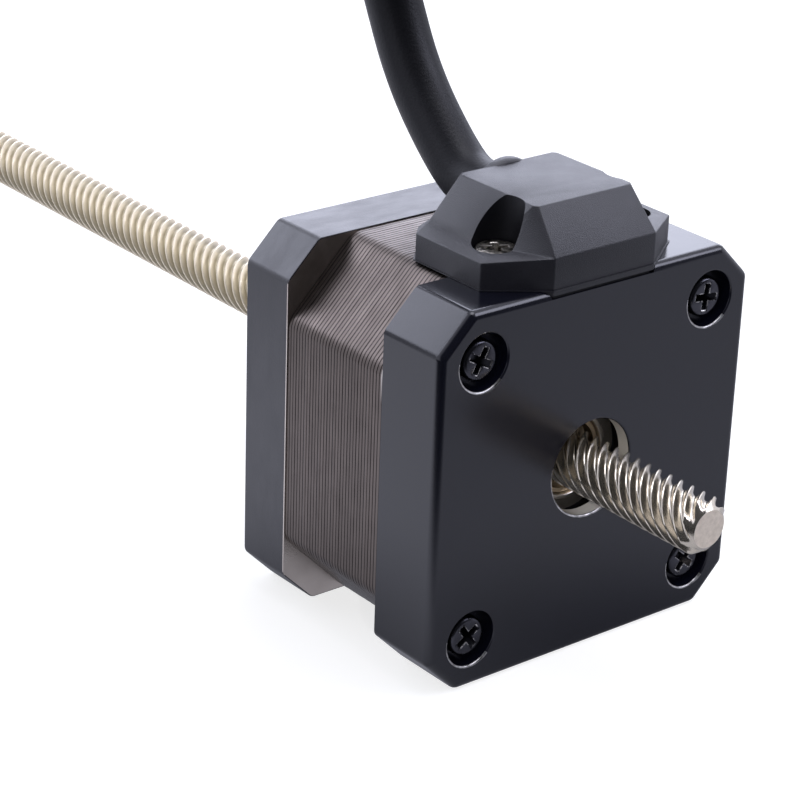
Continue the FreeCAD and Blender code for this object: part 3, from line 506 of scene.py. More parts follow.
# Turned bronze nut: warm metal, a little dull
BRONZE = Finish("turned_bronze", "#c9b79a", "#ae9c80", metallic=0.96, roughness=0.36, spread=0.06,
                grain_mm=0.15, bump_mm=0.004)
# Glass-filled nylon moulded in a spark-eroded tool: fine even grain, drawn coarser than real so that it shows
MOULDED = Finish("moulded_glass_filled_nylon", "#0e0e16", "#12121a", roughness=0.46, spread=0.02,
                 grain_mm=0.12, bump_mm=0.07, specular=0.92)
# Walls of the screw wells: the nylon painted deep black, a painted shade where little light reaches
WELL_SHADE_NYLON = Finish("nylon_with_painted_well_shade", "#09090d", "#0c0c11", spread=0.02, bump_mm=0.02, specular=0.30)
# Extruded rubber jacket: matt charcoal with a soft edge light
JACKET = Finish("extruded_rubber_jacket", "#07070c", "#0b0b12", roughness=0.45, spread=0.03, bump_mm=0.05,
                specular=0.36)
# Moulded seals and the collar: dull black rubber
RUBBER = Finish("moulded_nitrile_rubber", "#121214", "#18181a", roughness=0.62, grain_mm=0.25, bump_mm=0.008)
# Screws in black oxide: dark metal that still glints
BLACK_OXIDE = Finish("black_oxide_steel", "#5a5a60", "#46464b", metallic=1.0, roughness=0.27, spread=0.06,
                     grain_mm=0.12, bump_mm=0.006)
# The same oxide worn through at the edges of the recess: bright glints
WORN_OXIDE = WearAndPaintedLight("worn_black_oxide_steel", "#f2efeb", "#3c3c41", metallic=1.0, roughness=0.26, spread=0.06,
                  grain_mm=0.10, bump_mm=0.006, patch_mm=0.5, soft=0.06)
# Nickel plating on steel: bright with small scratches
NICKEL = Finish("nickel_plated_steel", "#dcd7ce", "#c2bcb2", metallic=1.0, roughness=0.36, grain_mm=0.10,
                bump_mm=0.006)
# The same plating darkened in patches for the heads down in the wells: painted shade between bright patches
SHADED_NICKEL = WearAndPaintedLight("nickel_plated_steel_with_painted_shade", "#c8c2b6", "#2c2a27", metallic=1.0, roughness=0.33,
                   spread=0.06, grain_mm=0.10, bump_mm=0.006, patch_mm=0.7, soft=0.12)
# Enamelled copper wire, as it looks in a bundle
COPPER = Finish("enamelled_copper_wire", "#b4623a", "#8d4526", metallic=1.0, roughness=0.34, grain_mm=0.18,
                stretch=(1.0, 4.0, 1.0), bump_mm=0.05)
# Natural nylon of the coil insulators: pale and slightly waxy
NATURAL_NYLON = Finish("moulded_natural_nylon", "#e2dccb", "#d6cfbb", roughness=0.48, grain_mm=0.4,
                       bump_mm=0.008)
# Sintered magnet with thin plating: grey and half dull
MAGNET = Finish("plated_sintered_magnet", "#8b8b8e", "#77777a", metallic=1.0, roughness=0.36, grain_mm=0.2)
# Glass laminate of the lead board: green mask with a soft gloss
LAMINATE = Finish("solder_masked_glass_laminate", "#1d5a34", "#184c2b", roughness=0.40)
# Gold-flashed brass contacts: bright yellow metal
CONTACT = Finish("gold_flashed_brass", "#d9b767", "#c9a556", metallic=1.0, roughness=0.24, grain_mm=0.1)
# Over-moulded plug: smooth dark plastic
PLUG_PVC = Finish("moulded_pvc", "#131315", "#1a1a1c", roughness=0.44)

NODE_FINISHES: dict[str, Finish] = {
    "front_insulator": NATURAL_NYLON, "rear_insulator": NATURAL_NYLON, "stator_windings": COPPER,
    "front_bearing_outer": GROUND_STEEL, "front_bearing_inner": GROUND_STEEL, "front_bearing_seals": RUBBER,
    "rear_bearing_outer": GROUND_STEEL, "rear_bearing_inner": GROUND_STEEL, "rear_bearing_seals": RUBBER,
    "preload_spring": GROUND_STEEL, "cover_seal": RUBBER, "terminal_board": LAMINATE,
    "terminal_pins": CONTACT, "rotor_cup_front": LAMINATION, "rotor_cup_rear": LAMINATION,
    "rotor_magnet": MAGNET, "front_spacer": GROUND_STEEL, "rear_spacer": GROUND_STEEL,
    "plug_insert": PLUG_PVC, "plug_contacts": CONTACT,
}


def linked(name: str, data: bpy.types.ID) -> Piece:
    """Put mesh, curve, lamp or camera data into the scene.

    Args:
        name: object name.
        data: what the object shows.

    Returns:
        The new object.
    """
    made = bpy.data.objects.new(name, data)
    bpy.context.scene.collection.objects.link(made)
    return made


def mesh_object(name: str, bm: Mesh, crease_deg: float = 35.0) -> Piece:
    """Turn a bmesh into a linked object with outward, softly shaded faces.

    Args:
        name: object name.
        bm: mesh, which is freed.
        crease_deg: edges sharper than this stay sharp.

    Returns:
        The new object.
    """
    bmesh.ops.remove_doubles(bm, verts=bm.verts[:], dist=MERGE)
    bmesh.ops.recalc_face_normals(bm, faces=bm.faces[:])
    mesh = bpy.data.meshes.new(name)
    bm.to_mesh(mesh)
    bm.free()
    made = linked(name, mesh)
    shade(made, crease_deg)
    return made


def discard(piece: Piece) -> None:
    """Remove an object that was only a tool or a pattern, with its mesh.

    Args:
        piece: object that isn't needed any more.
    """
    spent = piece.data
    bpy.data.objects.remove(piece)
    bpy.data.meshes.remove(spent)


def shade(piece: Piece, crease_deg: float) -> None:
    """Shade a piece smooth, apart from edges sharper than an angle."""
    piece.data.polygons.foreach_set("use_smooth", [True] * len(piece.data.polygons))
    piece.data.set_sharp_from_angle(angle=math.radians(crease_deg))


def keep_flats(piece: Piece) -> None:
    """Weigh the normals by face area, so that a rounding doesn't shade the flat beside it.

    Args:
        piece: shaded object.
    """
    modifier = piece.modifiers.new("keep_flats", "WEIGHTED_NORMAL")
    modifier.mode = "FACE_AREA"
    modifier.weight = 50
    modifier.keep_sharp = True


def carve(piece: Piece, tool: Mesh, way: Carve = Carve.CUT) -> None:
    """Cut a tool's shape out of a piece, or join it to the piece.

    Args:
        piece: object that changes.
        tool: closed shape, which is used up.
        way: cut or join.
    """
    cutter = mesh_object("cutter", tool)
    modifier = piece.modifiers.new("carve", "BOOLEAN")
    modifier.operation = way.value
    modifier.solver = "EXACT"
    modifier.object = cutter
    graph = bpy.context.evaluated_depsgraph_get()
    carved = bpy.data.meshes.new_from_object(piece.evaluated_get(graph))
    piece.modifiers.clear()
    before = piece.data
    piece.data = carved
    bpy.data.meshes.remove(before)
    discard(cutter)


def picked(geometry: Iterable[object], kind: type) -> list:
    """Give the vertices or the edges of an operator's result."""
    return [item for item in geometry if isinstance(item, kind)]


def edges_at(bm: Mesh, along: float) -> list[Edge]:
    """Give the edges of a mesh that lie at one Y, in millimetres."""
    return [edge for edge in bm.edges if all(abs(vert.co.y / MM - along) < NEAR for vert in edge.verts)]


def bevel(bm: Mesh, edges: Sequence[Edge], width_mm: float, segments: int, clamp: bool = False) -> list[Face]:
    """Round edges of a mesh.

    Args:
        bm: mesh that changes.
        edges: edges to round.
        width_mm: width of the rounding.
        segments: faces across the rounding.
        clamp: let short edges hold the rounding back.

    Returns:
        Faces of the rounding.
    """
    return bmesh.ops.bevel(bm, geom=edges, offset=width_mm * MM, segments=segments, profile=0.5,
                           affect="EDGES", material=-1, clamp_overlap=clamp)["faces"]


def round_corners(bm: Mesh, width_mm: float) -> None:
    """Round the edges of a fresh prism that run along Y.

    Args:
        bm: mesh with the prism.
        width_mm: width of the rounding.
    """
    along = [edge for edge in bm.edges if abs(edge.verts[0].co.y - edge.verts[1].co.y) > NEAR * MM]
    bevel(bm, along, width_mm, segments=4)


def ease(piece: Piece, test: Callable[[Vector], bool], width_mm: float, segments: int = 2,
         sharp_deg: float = 20.0, slot: Slot | None = None, clamp: bool = True) -> None:
    """Round the sharp edges of a piece that lie where a test says.

    Args:
        piece: object that changes.
        test: true for a vertex, in millimetres, on an edge to round.
        width_mm: width of the rounding.
        segments: faces across the rounding.
        sharp_deg: least angle of an edge that counts.
        slot: material slot of the rounding, or none to keep the neighbours' own.
        clamp: let short edges hold the rounding back.
    """
    bm = bmesh.new()
    bm.from_mesh(piece.data)
    bmesh.ops.remove_doubles(bm, verts=bm.verts[:], dist=MERGE)
    edges = [edge for edge in bm.edges
             if len(edge.link_faces) == 2 and edge.calc_face_angle(0.0) > math.radians(sharp_deg)
             and all(test(vert.co / MM) for vert in edge.verts)]
    rounded = bevel(bm, edges, width_mm, segments, clamp)
    if slot is not None:
        for face in rounded:
            face.material_index = slot
    bm.to_mesh(piece.data)
    bm.free()


def finish_piece(piece: Piece, finishes: Iterable[Finish], body: Body, slot: str, *nodes: str) -> None:
    """Give a piece its materials, its body and the solids that it stands for.

    Args:
        piece: finished object.
        finishes: materials in slot order.
        body: body that it rides on.
        slot: not used.
        nodes: solids that it replaces.
    """
    for each in finishes:
        piece.data.materials.append(each.material())
    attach(piece, body.value)
    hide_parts(*nodes)
    LOG.info("%s rides on %s and stands for %s", piece.name, body.value, ", ".join(nodes))


def drum(bm: Mesh, centre: Point, radius: float, start: float, end: float, axis: str = "Y",
         segments: int = Sides.PLAIN) -> None:
    """Add a closed cylinder along a main axis, in millimetres.

    Args:
        bm: mesh that takes it.
        centre: point on the axis.
        radius: radius of the cylinder.
        start: lower end along the axis.
        end: upper end along the axis.
        axis: Y or Z.
        segments: sides of the cylinder.
    """
    middle = Vector(centre)
    if axis == "Y":
        middle.y = (start + end) / 2
        turn = Matrix.Rotation(math.radians(90), 4, "X")
    else:
        middle.z = (start + end) / 2
        turn = Matrix.Identity(4)
    bmesh.ops.create_cone(bm, cap_ends=True, segments=segments, radius1=radius * MM, radius2=radius * MM,
                          depth=(end - start) * MM, matrix=Matrix.Translation(middle * MM) @ turn)


def block(bm: Mesh, low: Point, high: Point) -> None:
    """Add a box, in millimetres.

    Args:
        bm: mesh that takes it.
        low: its lowest corner.
        high: its highest corner.
    """
    first, second = Vector(low) * MM, Vector(high) * MM
    size = Matrix.Diagonal((*(second - first), 1.0))
    bmesh.ops.create_cube(bm, size=1.0, matrix=Matrix.Translation((first + second) / 2) @ size)


def turned(profile: Profile, steps: int = Sides.PLAIN) -> Mesh:
    """Spin a profile around the motor's axis.

    Args:
        profile: closed chain of radius and Y pairs, in millimetres.
        steps: sides of the turned shape.

    Returns:
        Mesh of the turned shape.
    """
    bm = bmesh.new()
    verts = [bm.verts.new((radius * MM, along * MM, 0.0)) for radius, along in profile]
    edges = [bm.edges.new((verts[place], verts[(place + 1) % len(verts)])) for place in range(len(verts))]
    axle = [edge for edge in edges if all(abs(vert.co.x) < MERGE for vert in edge.verts)]
    bmesh.ops.delete(bm, geom=axle, context="EDGES_FACES")
    bmesh.ops.spin(bm, geom=bm.verts[:] + bm.edges[:], cent=(0, 0, 0), axis=(0, 1, 0), dvec=(0, 0, 0),
                   angle=2 * math.pi, steps=steps, use_merge=True)
    bmesh.ops.remove_doubles(bm, verts=bm.verts[:], dist=MERGE)
    return bm


def cut_corner_outline(bm: Mesh, size: float, corner: float, along: float) -> Face:
    """Add a square with its corners cut off, across the motor's axis.

    Args:
        bm: mesh that takes it.
        size: distance across the flats, in millimetres.
        corner: length of each cut along a flat.
        along: Y of the outline.

    Returns:
        The face.
    """
    half, short = size / 2, size / 2 - corner
    corners = [(half, -short), (half, short), (short, half), (-short, half),
               (-half, short), (-half, -short), (-short, -half), (short, -half)]
    return bm.faces.new([bm.verts.new((x * MM, along * MM, z * MM)) for x, z in corners])


def prism(bm: Mesh, face: Face, push: Point) -> None:
    """Push a face into a closed solid.

    Args:
        bm: mesh that holds nothing but the face.
        face: face to push.
        push: way and length, in millimetres.
    """
    moved = picked(bmesh.ops.extrude_face_region(bm, geom=[face])["geom"], Vert)
    bmesh.ops.translate(bm, verts=moved, vec=[part * MM for part in push])
    base = [vert for vert in bm.verts if vert not in moved]
    if not any(set(one.verts) == set(base) for one in bm.faces):
        bm.faces.new(base)


def grow_ring(bm: Mesh, ring: list[Edge], along: float, shrink: float = 1.0) -> list[Edge]:
    """Extrude a ring of edges along Y.

    Args:
        bm: mesh that holds the ring.
        ring: edges to extrude.
        along: length, in millimetres.
        shrink: size of the new ring against the old one.

    Returns:
        Edges of the new ring.
    """
    grown = bmesh.ops.extrude_edge_only(bm, edges=ring)["geom"]
    verts = picked(grown, Vert)
    bmesh.ops.scale(bm, verts=verts, vec=(shrink, 1.0, shrink))
    bmesh.ops.translate(bm, verts=verts, vec=(0.0, along * MM, 0.0))
    fresh = set(verts)
    return [edge for edge in picked(grown, Edge) if fresh.issuperset(edge.verts)]


class SubAssembly(ABC):
    """Pieces of the motor that are made and finished together, with sizes in millimetres."""

    @abstractmethod
    def build(self) -> list[Piece]:
        """Give the pieces in their shape."""

    @abstractmethod
    def dress(self, pieces: list[Piece]) -> None:
        """Give the pieces their finishes, bodies and solids."""


@dataclass
class Frame:
    """Sizes that the flange, the rear cover and the stack share, in millimetres."""

    size: float = 42.3
    corner: float = 4.0
    bolt: float = 15.5
    flange: float = 7.3
    stack_rear: float = 23.3
    cover_front: float = 23.5
    rear: float = 32.5

    def bolts(self) -> list[tuple[float, float]]:
        """Give the four bolt centres as X and Z."""
        return [(across * self.bolt, up * self.bolt) for across in (-1, 1) for up in (-1, 1)]

    def plate(self, start: float, end: float) -> Mesh:
        """Make a plate with the motor's outline.

        Args:
            start: Y of its rear face.
            end: Y of its front face.

        Returns:
            Mesh of the plate.
        """
        bm = bmesh.new()
        prism(bm, cut_corner_outline(bm, self.size, self.corner, start), (0.0, end - start, 0.0))
        return bm


@dataclass
class FrontFlange(SubAssembly):
    """Milled flange with its centring boss and tapped holes."""

    frame: Frame
    edge: float = 0.12
    edge_tilt: float = 0.3
    side_tilt: float = 0.2
    corner_rounding: float = 0.45
    crease_deg: float = 25.0
    boss_radius: float = 11.0
    boss_height: float = 2.0
    boss_chamfer: float = 0.3
    bore_radius: float = 5.4
    bore_depth: float = 4.0
    seat_radius: float = 9.5
    seat_depth: float = 2.0
    tap_radius: float = 1.25
    tap_depth: float = 4.5

    def build(self) -> list[Piece]:
        """Mill the flange from a plate.

        Returns:
            The flange.
        """
        thick, outer, top = self.frame.flange, self.boss_radius, self.boss_height
        bm = self.frame.plate(-thick, 0.0)
        round_corners(bm, self.corner_rounding)
        piece = mesh_object("flange_body", bm, self.crease_deg)
        ease(piece, lambda spot: True, self.edge)
        boss = [(0.0, -PAST), (outer, -PAST), (outer, top - self.boss_chamfer),
                (outer - self.boss_chamfer, top), (0.0, top)]
        carve(piece, turned(boss, Sides.LARGE), Carve.JOIN)
        tool = bmesh.new()
        drum(tool, (0, 0, 0), self.bore_radius, -self.bore_depth, top + PAST)
        for x, z in self.frame.bolts():
            drum(tool, (x, 0, z), self.tap_radius, -self.tap_depth, PAST, segments=Sides.HOLE)
        carve(piece, tool)
        tool = bmesh.new()
        drum(tool, (0, 0, 0), self.seat_radius, -thick - PAST, -self.seat_depth)
        carve(piece, tool)
        ease(piece, lambda spot: spot.y > -NEAR, self.edge, sharp_deg=50.0)
        self.bare_face_and_highlight_edges(piece)
        shade(piece, self.crease_deg)
        keep_flats(piece)
        return [piece]

    def bare_face_and_highlight_edges(self, piece: Piece) -> None:
        """Leave the inner face bare, and give its edges on the left and right the same bright metal as a
        painted highlight line.

        Args:
            piece: milled flange.
        """
        for face in piece.data.polygons:
            depth = face.center.y / MM + self.frame.flange
            # Inner edges facing left and right take the bright metal as a painted highlight line
            highlight_edge = face.normal.y < -self.edge_tilt and abs(face.normal.z) < self.side_tilt
            if depth < NEAR or depth < self.edge and highlight_edge:
                face.material_index = Slot.SECOND

    def dress(self, pieces: list[Piece]) -> None:
        """Anodise the flange."""
        finish_piece(pieces[0], [ANODISED, MILLED_AND_EDGE_HIGHLIGHT], Body.HOUSING, "flange_anodised", "front_flange")


@dataclass
class LaminationStack(SubAssembly):
    """Stack of sheets, each with its own small edge and a joint to the next.

    Each wave of uneven has a height, a step from sheet to sheet and a start, in radians.
    """

    frame: Frame
    size: float = 42.0
    corner: float = 8.15
    rounding: float = 0.9
    sheets: int = 32
    joint_depth: float = 0.04
    joint_width: float = 0.04
    inset: float = 0.02
    uneven: tuple[Point, ...] = ((0.006, 2.4, 0.0), (0.004, 5.1, 1.0))
    bore_radius: float = 12.1

    def rows(self) -> list[tuple[float, float]]:
        """List the rows of vertices from the flange to the rear cover.

        Returns:
            Depth and inset of each row.
        """
        thick = (self.frame.stack_rear - self.frame.flange) / self.sheets
        found: list[tuple[float, float]] = []
        for sheet in range(self.sheets):
            near = self.frame.flange + sheet * thick
            waves = [high * math.sin(sheet * step + start) for high, step, start in self.uneven]
            level = self.inset + sum(waves)
            found += [(near, self.joint_depth), (near + self.joint_width, level),
                      (near + thick - self.joint_width, level)]
        return found + [(self.frame.stack_rear, self.joint_depth)]

    def build(self) -> list[Piece]:
        """Stack the sheets row by row, then close both ends around the bore.

        Returns:
            The stack.
        """
        bm = bmesh.new()
        rows = self.rows()
        depth, inset = rows[0]
        face = cut_corner_outline(bm, self.size, self.corner, -depth)
        bmesh.ops.bevel(bm, geom=face.verts[:], offset=self.rounding * MM, segments=5, profile=0.5,
                        affect="VERTICES", material=-1)
        bmesh.ops.delete(bm, geom=bm.faces[:], context="FACES_ONLY")
        first = 1.0 - 2 * inset / self.size
        bmesh.ops.scale(bm, verts=bm.verts[:], vec=(first, 1.0, first))
        ring = bm.edges[:]
        ends = [ring]
        for next_depth, next_inset in rows[1:]:
            shrink = (self.size / 2 - next_inset) / (self.size / 2 - inset)
            ring = grow_ring(bm, ring, depth - next_depth, shrink)
            depth, inset = next_depth, next_inset
        ends.append(ring)
        rims = []
        for end, along in zip(ends, (self.frame.flange, self.frame.stack_rear)):
            turn = Matrix.Translation((0, -along * MM, 0)) @ Matrix.Rotation(math.radians(90), 4, "X")
            made = bmesh.ops.create_circle(bm, segments=len(end), radius=self.bore_radius * MM, matrix=turn)
            rim = [edge for edge in bm.edges if all(vert in made["verts"] for vert in edge.verts)]
            bmesh.ops.bridge_loops(bm, edges=end + rim)
            rims.append(rim)
        bmesh.ops.bridge_loops(bm, edges=rims[0] + rims[1])
        return [mesh_object("stack_sheets", bm, crease_deg=20.0)]

    def dress(self, pieces: list[Piece]) -> None:
        """Grind the stack's edges."""
        finish_piece(pieces[0], [LAMINATION], Body.HOUSING, "lamination_steel", "stator_stack")


@dataclass
class RearCover(SubAssembly):
    """Painted casting with counterbores, through bore and the seat of the cable cover.

    Paint stays on a hole's rim on the side of the given way, as X and Z from the hole's centre; the rest of
    the rim, on its lower left, carries a painted highlight in bright metal.
    """

    frame: Frame
    face_rounding: float = 0.9
    corner_rounding: float = 0.40
    crease_deg: float = 30.0
    counterbore_radius: float = 3.1
    counterbore_depth: float = 2.8
    hole_radius: float = 1.6
    bore_radius: float = 5.4
    wall: float = 1.75
    bearing_radius: float = 9.5
    seat_floor: float = 20.3
    seat_height: float = 4.0
    seat_nose: float = 6.95
    seat_half: float = 13.0
    seat_corner: float = 4.3
    lip_radius: float = 20.3
    lip_root: float = 0.5
    rim: float = 0.22
    highlight_reach: float = 0.30
    unlit_way: tuple[float, float] = (0.45, 0.89)

    def build(self) -> list[Piece]:
        """Cast the cover and machine its holes.

        Returns:
            The cover.
        """
        rear, front = -self.frame.rear, -self.frame.cover_front
        bm = self.frame.plate(rear, front)
        round_corners(bm, self.corner_rounding)
        bevel(bm, edges_at(bm, rear), self.face_rounding, segments=5)
        piece = mesh_object("rear_casting", bm, self.crease_deg)
        tool = bmesh.new()
        drum(tool, (0, 0, 0), self.lip_radius, front - self.lip_root, -self.frame.stack_rear)
        carve(piece, tool, Carve.JOIN)
        carve(piece, self.seat())
        tool = bmesh.new()
        for x, z in self.frame.bolts():
            drum(tool, (x, 0, z), self.counterbore_radius, rear - PAST, rear + self.counterbore_depth)
        drum(tool, (0, 0, 0), self.bore_radius, rear - PAST, front, segments=Sides.LARGE)
        carve(piece, tool)
        tool = bmesh.new()
        drum(tool, (0, 0, 0), self.bearing_radius, rear + self.wall, 0.0, segments=Sides.LARGE)
        for x, z in self.frame.bolts():
            drum(tool, (x, 0, z), self.hole_radius, rear + PAST, 0.0, segments=Sides.HOLE)
        carve(piece, tool)
        for face in piece.data.polygons:
            out = math.hypot(face.center.x, face.center.z) / MM
            if abs(out - self.bore_radius) < ON_RIM and abs(face.normal.y) < SIDE_FACING:
                face.material_index = Slot.THIRD
        # The rims' roundings take the bright slot, a painted highlight, and paint then covers all but their
        # lower left
        ease(piece, self.on_rim, self.rim, segments=4, sharp_deg=50.0, slot=Slot.SECOND, clamp=False)
        self.paint_rim_highlights(piece)
        shade(piece, self.crease_deg)
        keep_flats(piece)
        return [piece]

    def seat(self) -> Mesh:
        """Make the shape of the shallow pocket that the cable cover stands in.

        Returns:
            Mesh of the pocket.
        """
        rear, front = -self.frame.rear, -self.frame.cover_front
        half, nose, corner = self.seat_half, self.seat_nose, rear + self.seat_corner
        spots = [(-nose, rear - PAST), (nose, rear - PAST), (nose, rear), (half, corner),
                 (half, front + PAST), (-half, front + PAST), (-half, corner), (-nose, rear)]
        bm = bmesh.new()
        face = bm.faces.new([bm.verts.new((x * MM, y * MM, self.seat_floor * MM)) for x, y in spots])
        prism(bm, face, (0.0, 0.0, self.seat_height))
        return bm

    def holes(self) -> list[Point]:
        """Give X, Z and radius of every hole in the rear face."""
        sinks = [(x, z, self.counterbore_radius) for x, z in self.frame.bolts()]
        return [(0.0, 0.0, self.bore_radius), *sinks]

    def on_rim(self, spot: Vector) -> bool:
        """Tell whether a point lies on a hole's rim in the rear face.

        Args:
            spot: point in millimetres.

        Returns:
            True on a rim.
        """
        if abs(spot.y + self.frame.rear) > NEAR:
            return False
        return any(abs(math.hypot(spot.x - x, spot.z - z) - radius) < ON_RIM for x, z, radius in self.holes())

    def paint_rim_highlights(self, piece: Piece) -> None:
        """Let the paint cover each rim, apart from the lower-left stretch that keeps the painted highlight.

        Args:
            piece: cover whose rims carry the painted highlight all round.
        """
        across, up = self.unlit_way
        for face in piece.data.polygons:
            if face.material_index != Slot.SECOND:
                continue
            at = face.center / MM
            x, z, radius = min(self.holes(), key=lambda hole: abs(
                math.hypot(at.x - hole[0], at.z - hole[1]) - hole[2]))
            if across * (at.x - x) + up * (at.z - z) > -self.highlight_reach * radius:
                face.material_index = Slot.MAIN

    def dress(self, pieces: list[Piece]) -> None:
        """Paint the casting."""
        finish_piece(pieces[0], [CAST_PAINT, RIM_HIGHLIGHT_ALUMINIUM, CAST_SKIN], Body.HOUSING, "cover_paint",
                     "rear_cover")


@dataclass(frozen=True)
class CrossScrew:
    """Pan-head screw with a cross recess, its head's seat at the origin and the head towards -Y.

    The pan is a chain of points, as shares of the head's radius and height. The floor's shares are against
    the slots' mouth, the middle's against the slots, and the mouth's reach against the slots' length.
    """

    head_radius: float
    head_height: float
    shank_radius: float
    shank_length: float
    slot_width: float
    slot_length: float
    slot_depth: float
    edge: float = 0.09
    pan: Profile = ((0.80, 1.0), (0.88, 0.98), (0.95, 0.92), (0.99, 0.82), (1.0, 0.68))
    floor_width: float = 0.55
    floor_length: float = 0.45
    middle_width: float = 1.05
    middle_floor: float = 0.45
    middle_depth: float = 1.2
    middle_place: float = 0.4
    mouth_reach: float = 0.53

    def build(self, name: str) -> Piece:
        """Turn the screw and sink its recess.

        Args:
            name: object name.

        Returns:
            The screw.
        """
        top = -self.head_height
        head = [(self.head_radius * out, top * high) for out, high in self.pan]
        shank = [(self.head_radius, 0.0), (self.shank_radius, 0.0), (self.shank_radius, self.shank_length)]
        chain = [(0.0, top), *head, *shank, (0.0, self.shank_length)]
        piece = mesh_object(name, turned(chain, Sides.SCREW), crease_deg=40.0)
        half, reach, floor = self.slot_width / 2, self.slot_length / 2, top + self.slot_depth
        for angle in (0.0, 90.0):
            tool = bmesh.new()
            block(tool, (-half, top - PAST / 2, -reach), (half, floor, reach))
            low = [vert for vert in tool.verts if vert.co.y > (floor - NEAR) * MM]
            bmesh.ops.scale(tool, verts=low, vec=(self.floor_width, 1.0, self.floor_length))
            bmesh.ops.rotate(tool, verts=tool.verts[:], cent=(0, 0, 0),
                             matrix=Matrix.Rotation(math.radians(angle), 3, "Y"))
            carve(piece, tool)
        tool = bmesh.new()
        width, depth = self.slot_width * self.middle_width, self.slot_depth * self.middle_depth
        turn = Matrix.Rotation(math.radians(45), 4, "Y") @ Matrix.Rotation(math.radians(90), 4, "X")
        place = Matrix.Translation((0, (top + self.slot_depth * self.middle_place) * MM, 0))
        bmesh.ops.create_cone(tool, cap_ends=True, segments=8, radius1=width * MM,
                              radius2=width * self.middle_floor * MM, depth=depth * MM, matrix=place @ turn)
        carve(piece, tool)
        ease(piece, self.on_recess, self.edge, sharp_deg=30.0, slot=Slot.SECOND, clamp=False)
        return piece

    def on_recess(self, spot: Vector) -> bool:
        """Tell whether a point in millimetres lies on the edge of the recess."""
        return abs(spot.y + self.head_height) < NEAR and spot.xz.length < self.slot_length * self.mouth_reach

    def group(self, name: str, places: Sequence[tuple[Matrix, float]]) -> Piece:
        """Copy the screw to several places in one piece.

        Args:
            name: piece name.
            places: for each screw its place and the turn of its recess in degrees.

        Returns:
            The piece that holds all of them.
        """
        pattern = self.build(name + "_pattern")
        bm = bmesh.new()
        for place, angle in places:
            before = len(bm.verts)
            bm.from_mesh(pattern.data)
            bm.verts.ensure_lookup_table()
            turn = Matrix.Rotation(math.radians(angle), 4, "Y")
            bmesh.ops.transform(bm, matrix=place @ turn, verts=bm.verts[before:])
        discard(pattern)
        return mesh_object(name, bm)


